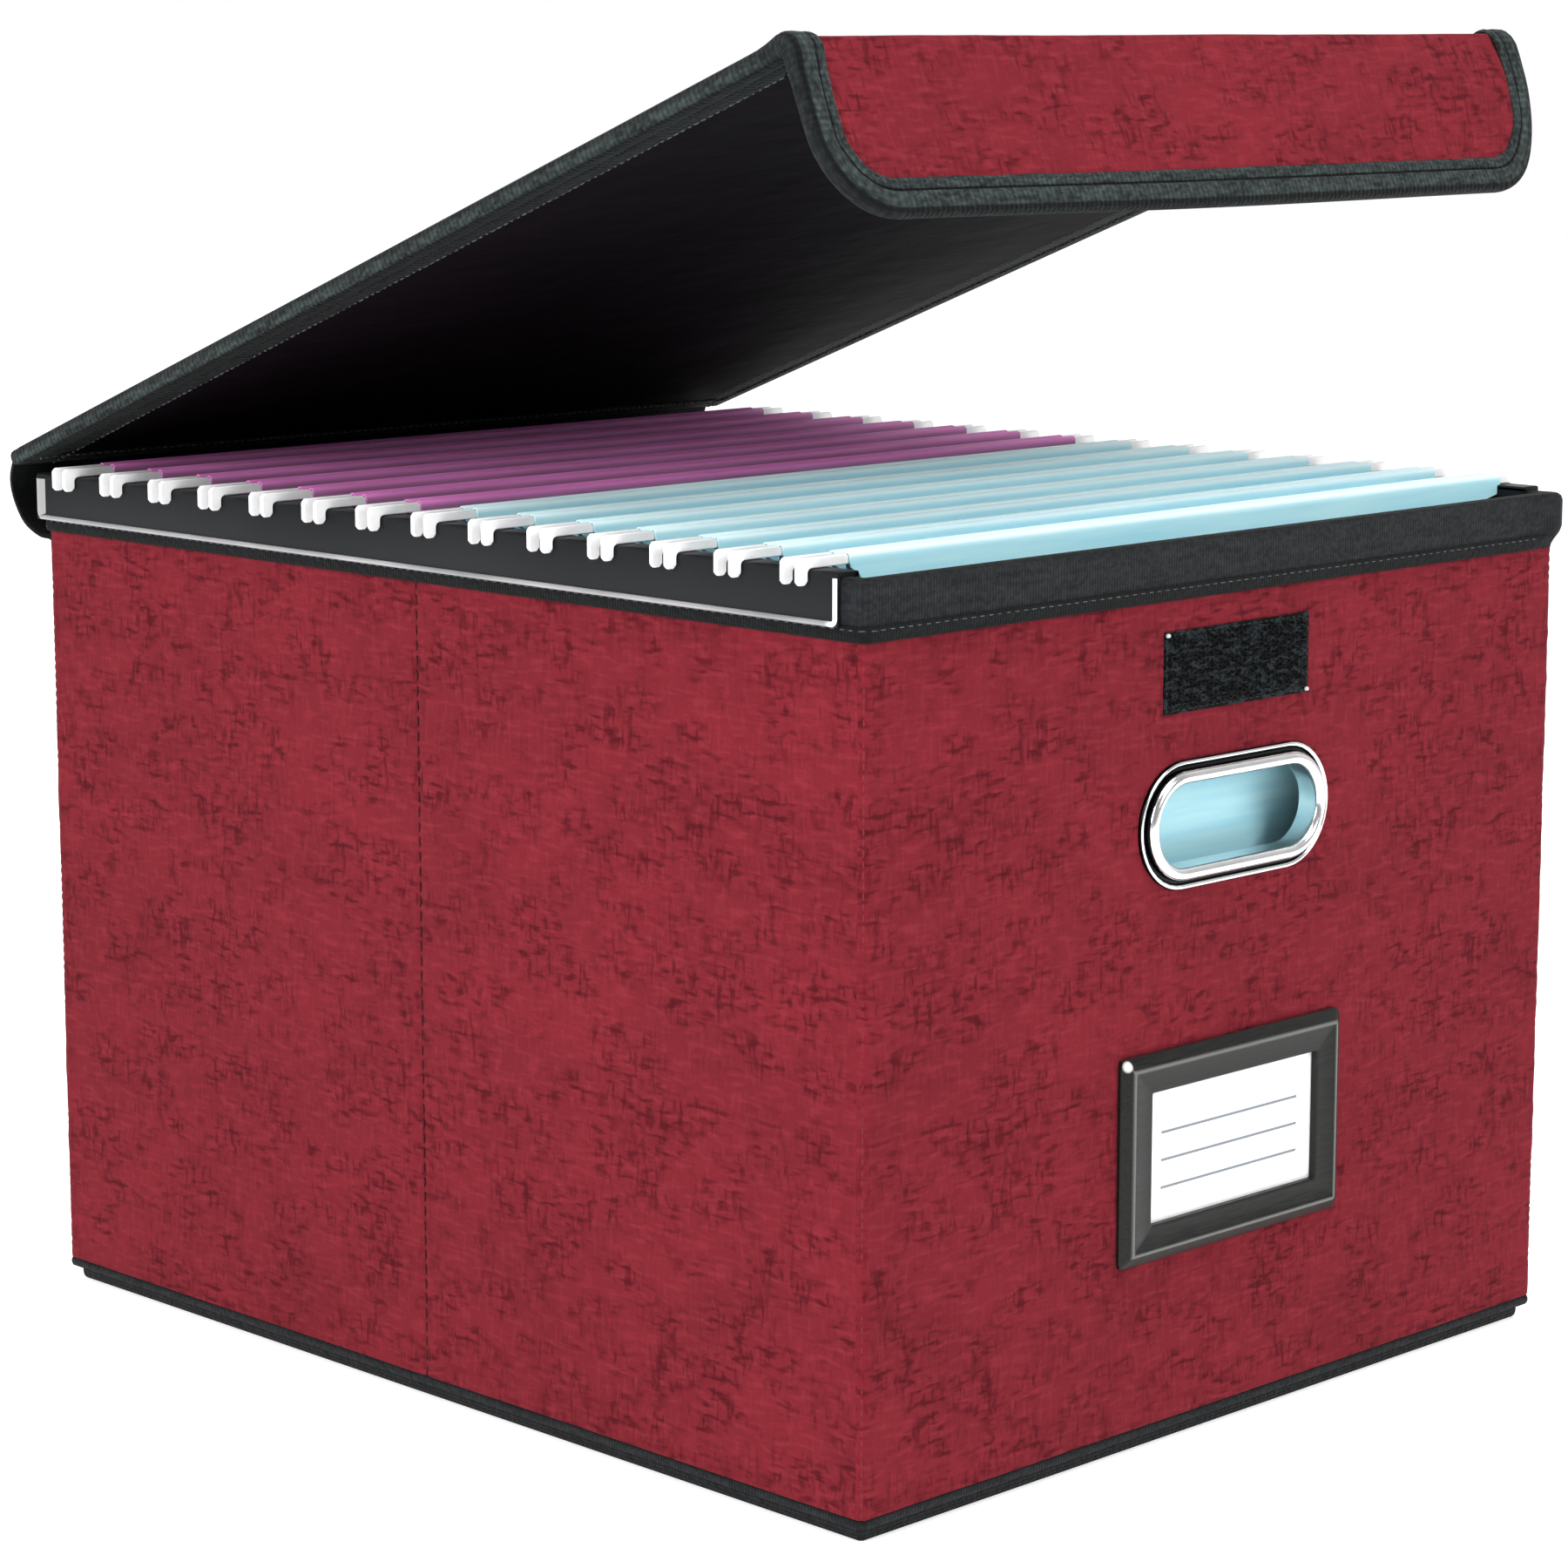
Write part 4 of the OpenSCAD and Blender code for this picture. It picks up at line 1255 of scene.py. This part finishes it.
def edge_binding():
    """Tape folded over the raw edges and sewn down in two parallel plies, drawn up a little by the
    thread. It runs once round lid and flap. Under the lid's right side it lies flatter, clear of the
    folders' hems."""
    rings, painted_shade_marks, edge_shade_marks = [], [], []
    run = 0
    path = binding_path()
    for i, (middle, inward, way, half) in enumerate(path):
        run += (middle - path[i - 1][0]).length if i else 0
        gather = 0.22 * noise.noise((run / 2.6, 0, 3)) + 0.25 * noise.noise((run / 9, 0, 8))
        edge = 0.45 * noise.noise((run / 3.1, 5, 0))
        nub = bunching(middle)
        wide = TAPE_W - 1.6 * smooth((abs(middle.x) - LID_HALF_W + 2) / 2) * flap_drop(min(middle.z, LID_LOW))
        inner = wide - 3.8
        on_side = smooth((middle.y - LID_FRONT - 12) / 10) * smooth((LID_REAR - 10 - middle.y) / 8)
        over_hems = on_side > 0 and middle.x > 0
        under = wide + 5 * on_side
        low = 0.25 if over_hems else 0.6
        pucker = gather * 0.3 if over_hems else min(gather * (2.2 if on_side else 1), 0.3)
        # The third value of each point is painted shade: black in the sewn creases and at the edges, dark
        # over the underside ply.
        section = [
            (wide + edge, half + 0.02, 0.7), (wide - 0.4 + edge, half + 0.55, 0),
            (wide - 1.8, half + 0.8 + gather, 0), (inner + 0.5, half + 0.7 + gather, 0),
            (inner + 0.2, half + 0.3, 1), (inner - 0.2, half + 0.3, 1), (inner - 0.6, half + 0.85, 0),
            (inner - 2.6, half + 1.0, 0), (2.3, half + 0.9, 0), (1.7, half + 0.5, 1), (0.7, half + 0.2, 1),
            (0.1, half - 0.25, 0.2), (-0.25, half * 0.5, 0), (-0.34, 0, 0), (-0.25, -half * 0.5, 0),
            (0.1, -half + 0.25, 0.2), (0.7, -half - 0.2, 1), (1.7, -half - 0.4, 1),
            (2.3, -half - 0.6, 0.85),
            (inner - 2.6, -half - 0.65, 0.85), (inner - 0.7, -half - 0.5, 0.85), (inner, -half - 0.1, 1),
            (inner + 0.6, -half - low + 0.1 - pucker, 0.8), (under - 1.8, -half - low - pucker, 0.75),
            (under - 0.4 - edge, -half - low + 0.2, 0.85), (under - edge, -half - 0.02, 1),
            (under - edge, -half + 0.3, 1), (1.6, -half + 0.4, 1), (1.4, 0, 1), (1.6, half - 0.4, 1),
            (wide + edge, half - 0.3, 1)]
        ring = []
        for a, b, painted_shade in section:
            a -= 0.7 * nub * smooth(1 - a / 7)
            b += 1.3 * nub * smooth(b + 0.5)
            ring.append(swung(flap_warp(middle + inward * a + way * b)))
            painted_shade_marks.append(painted_shade)
            # Painted shade on the side of the tape rolled over the edge, strong down the flap.
            on_flap = 0.75 + 0.25 * smooth((LID_LOW - 20 - middle.z) / 25)
            on_lid = smooth(b / half + 0.1) if middle.y > LID_FRONT + 12 else on_flap
            edge_shade_marks.append(on_lid * (a < 0.5))
        rings.append(ring)
    marks = {"painted_shade": painted_shade_marks, "rolled": edge_shade_marks}
    piece = loft("lid_and_flap_binding", rings, FLAP_TAPE, closed=True, sharp=60, marks=marks)
    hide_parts("lid_edge_tape", "flap_edge_tape")
    across_fold(piece)


def hook_patch():
    """Hook side of the fastener on the inner face of the flap."""
    low = FLAP_LOW + TAPE_W + 1
    half_x, half_z = 33.5, 10
    mid_z = low + half_z

    def place(u, v, out):
        return swung(flap_warp((u, FLAP_IN + 0.1 + out, mid_z + v)))

    pad = patch_pad("hook_patch_backing", half_x, half_z, 0.95, HOOKS, place)
    settle(pad, "touch_fastener", "flap", "hook_patch")


def through(knots):
    """A smooth curve through points: cubic stretches whose slope at a knot is that between its
    neighbours."""
    line, parts = [], 5
    for i in range(len(knots) - 1):
        p = [Vector(knots[min(max(i + k, 0), len(knots) - 1)]) for k in (-1, 0, 1, 2)]
        for t in [s / parts for s in range(parts)]:
            line.append(0.5 * (
                2 * p[1] + (p[2] - p[0]) * t + (2 * p[0] - 5 * p[1] + 4 * p[2] - p[3]) * t ** 2
                + (3 * p[1] - p[0] - 3 * p[2] + p[3]) * t ** 3))
    return line + [Vector(knots[-1])]


def hinge_loop():
    """Soft strip sewn to the back wall, hanging in a loop and sewn along the lid's rear edge."""
    edge = swung((0, LID_REAR - 6, LID_TOP + 0.9))
    rear = swung((0, LID_REAR + 0.6, LID_TOP + 0.4))
    knots = [
        (HALF_D + 0.9, 252.3), (HALF_D + 1.1, 253.0), (HALF_D + 2.2, 253.9), (HALF_D + 6.4, 254.4),
        (HALF_D + 13.4, 258.4), (HALF_D + 18.6, 266.0), (HALF_D + 19.9, 273.6),
        (rear.y + 1.6, rear.z - 2.4), (rear.y, rear.z), (edge.y, edge.z)]
    line = through(knots)
    runs = run_lengths(line)
    half = LID_HALF_W - 2.6
    narrow = (HALF_W - 2) / half
    last = len(line) - 1

    def folds(x, i):
        free = math.sin(math.pi * i / last) ** 2
        return free * (1.3 * noise.noise((x / 30, i / 16, 2)) + 0.8 * noise.noise((x / 8, i / 14, 5)))

    def surface(x, v):
        i = round(v)
        here = line[i]
        run = (line[min(i + 1, last)] - line[max(i - 1, 0)]).normalized()
        way = Vector((0, run.y, -run.x))
        sideways = x * (narrow + (1 - narrow) * smooth((i - 8) / 14))
        point = Vector((sideways, here.x, here.y)) + way * folds(x, i)
        return point, way, (runs[i], x)

    columns, rows = spread(-half, half, 3), list(range(last + 1))
    piece = thick_sheet("lid_hinge_loop", columns, rows, surface, 1.2, TAPE)
    # Painted shade: dark over most of the loop and darkest in the valleys of its folds.
    valley_shade = [smooth(0.75 - 1.1 * folds(x, i)) for x in columns for i in rows]
    mark(piece, "painted_shade", valley_shade * 2)
    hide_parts("lid_hinge_strip")
    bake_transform(piece)


def lid_stitches():
    """Rows along the tape on both faces of lid and flap. Under the lid's sides they keep clear of the
    folders: nearer the edge at the right, where the hems reach farther, and past the rods at the left."""
    path = binding_path()
    row_in, right_row_in, left_row_in = 9.8, 7.4, 14.6
    for name, picks, body in (
            ("lid_binding_stitches", [p for p in path if p[0].y > -HALF_D + 4], "lid"),
            ("flap_binding_stitches", [p for p in path if p[0].y < -HALF_D and p[0].z < LID_LOW - 3],
             "flap")):
        lines = []
        for sign in (1, -1):
            line = []
            for middle, inward, way, half in picks:
                across = row_in
                if sign < 0 and body == "lid" and middle.y < LID_REAR - 2:
                    across = right_row_in if middle.x > 0 else left_row_in
                line.append(swung(flap_warp(middle + inward * across + way * sign * (half + 0.6))))
            lines.append(line)
        if body == "lid":
            lines = [part for line in lines for part in split_where_far(line)]
        piece = sew(name, lines, GREY_THREAD if body == "lid" else BLACK_THREAD, pitch=3.0, length=2.2,
                    thickness=0.7, wander=0.5, seed=6)
        settle(piece, "black_tape", body)


def split_where_far(line):
    """Cuts a line where two neighbours are far apart."""
    parts = [[line[0]]]
    for a, b in zip(line, line[1:]):
        if (a - b).length > 30:
            parts.append([])
        parts[-1].append(b)
    return [p for p in parts if len(p) > 1]


lid_cloth("lid_and_flap_fabric", "cover", LID_FRONT, LID_TOP, 1.6, LID_REAR, 0.7, RED, 0.3)
lid_cloth("lid_and_flap_lining", "lining", FLAP_IN, LID_LOW, -0.8, LID_REAR - 0.3, 0.5, LINING, 0.5)
flap_core()
edge_binding()
hook_patch()
hinge_loop()
lid_stitches()


# ---- folders ----

def folder_line():
    """Half section of a folder from the hem's inner end over the rod and down to the bottom fold, as
    (distance from the folder's middle, height)."""
    low, top = (corner.z for corner in node_box("folder_01"))
    rod_y, hem_r, out = 2.9, 1.4, 5.0
    hem_low = top - 10.6
    line = [(rod_y - hem_r, hem_low + 0.3)]
    line += [(rod_y - hem_r, z) for z in spread(hem_low + 3, top - hem_r, 3)]
    line += arc(rod_y, top - hem_r, hem_r, 180, 0, 8)[1:]
    line += [(rod_y + hem_r, z) for z in reversed(spread(hem_low, top - hem_r - 1, 2))]
    line += [(out, z) for z in reversed(spread(low + out, hem_low - 12, 12))]
    line += [(out - 0.2, low + out * 0.5), (out * 0.6, low + 0.6), (0, low)]
    return line


def folder(index, name):
    """A folder of card whose hem reaches farther along its rods at the right."""
    low, high = node_box(name)
    mid_y = (low.y + high.y) / 2
    half_line = folder_line()
    line = half_line + [(-n, z) for n, z in reversed(half_line[:-1])]
    runs = run_lengths(line)
    full, cut, slant_top = high.x, 5.2, high.z - 3.4
    pushed = 8.5

    def surface(u, v):
        i = round(v)
        n, z = line[i]
        before, after = line[max(i - 1, 0)], line[min(i + 1, len(line) - 1)]
        run = Vector((after[0] - before[0], after[1] - before[1])).normalized()
        way = Vector((0, -run.y, run.x))
        half = full - cut * smooth((slant_top - z) / 4.6)
        if u > 0:
            half = full + pushed - (pushed + cut) * smooth((slant_top - 2.2 - z) / 3.9)
        x = u * half
        bow = 0.9 * noise.noise((x / 90, z / 80, index * 3.7)) * smooth((266 - z) / 14)
        return Vector((x, mid_y + n + math.copysign(bow, n), z)), way, (x, runs[i])

    count = 24
    across = [i / count for i in range(-count, count + 1)]
    finish = VIOLET if index < 7 else SKY
    piece = thick_sheet(name + "_card", across, list(range(len(line))), surface, 0.5, finish)
    settle(piece, "violet_card" if index < 7 else "blue_card", name.replace("folder", "file"), name)


def hangers(name):
    """The two rods of a folder as in the CAD part, with their edges eased."""
    def clean(shell):
        bmesh.ops.remove_doubles(shell, verts=shell.verts, dist=0.01 * MM)
        bmesh.ops.dissolve_limit(shell, angle_limit=math.radians(1), verts=shell.verts, edges=shell.edges)

    mesh = frame["nodes"][name].data.copy()
    mesh.name = name + "_rods"
    piece = finished(name + "_rods", mesh, HOOK_WHITE, 40, clean)
    ease = piece.modifiers.new("eased edges", "BEVEL")
    ease.width = 0.42 * MM
    ease.segments = 3
    ease.limit_method = "ANGLE"
    ease.angle_limit = math.radians(30)
    ease.harden_normals = True
    settle(piece, "white_plastic", name.replace("hangers", "file"), name)


folder_names = sorted(n for n in frame["nodes"] if n.startswith("folder_"))
for order, folder_name in enumerate(folder_names):
    folder(order, folder_name)
    hangers(folder_name.replace("folder", "hangers"))


# ---- finishes of the pieces that stay as they are ----

def dress(finish, *names):
    for name in names:
        mesh = frame["nodes"][name].data
        mesh.materials.clear()
        mesh.materials.append(finish)


dress(BOARD, "base_board", "front_board", "back_board", "left_boards", "right_boards", "lid_board")
dress(INNER, "wall_lining", "insert_board")
dress(CHROME, "front_handle_backing", "back_handle_backing")
dress(CARD, "label_card")
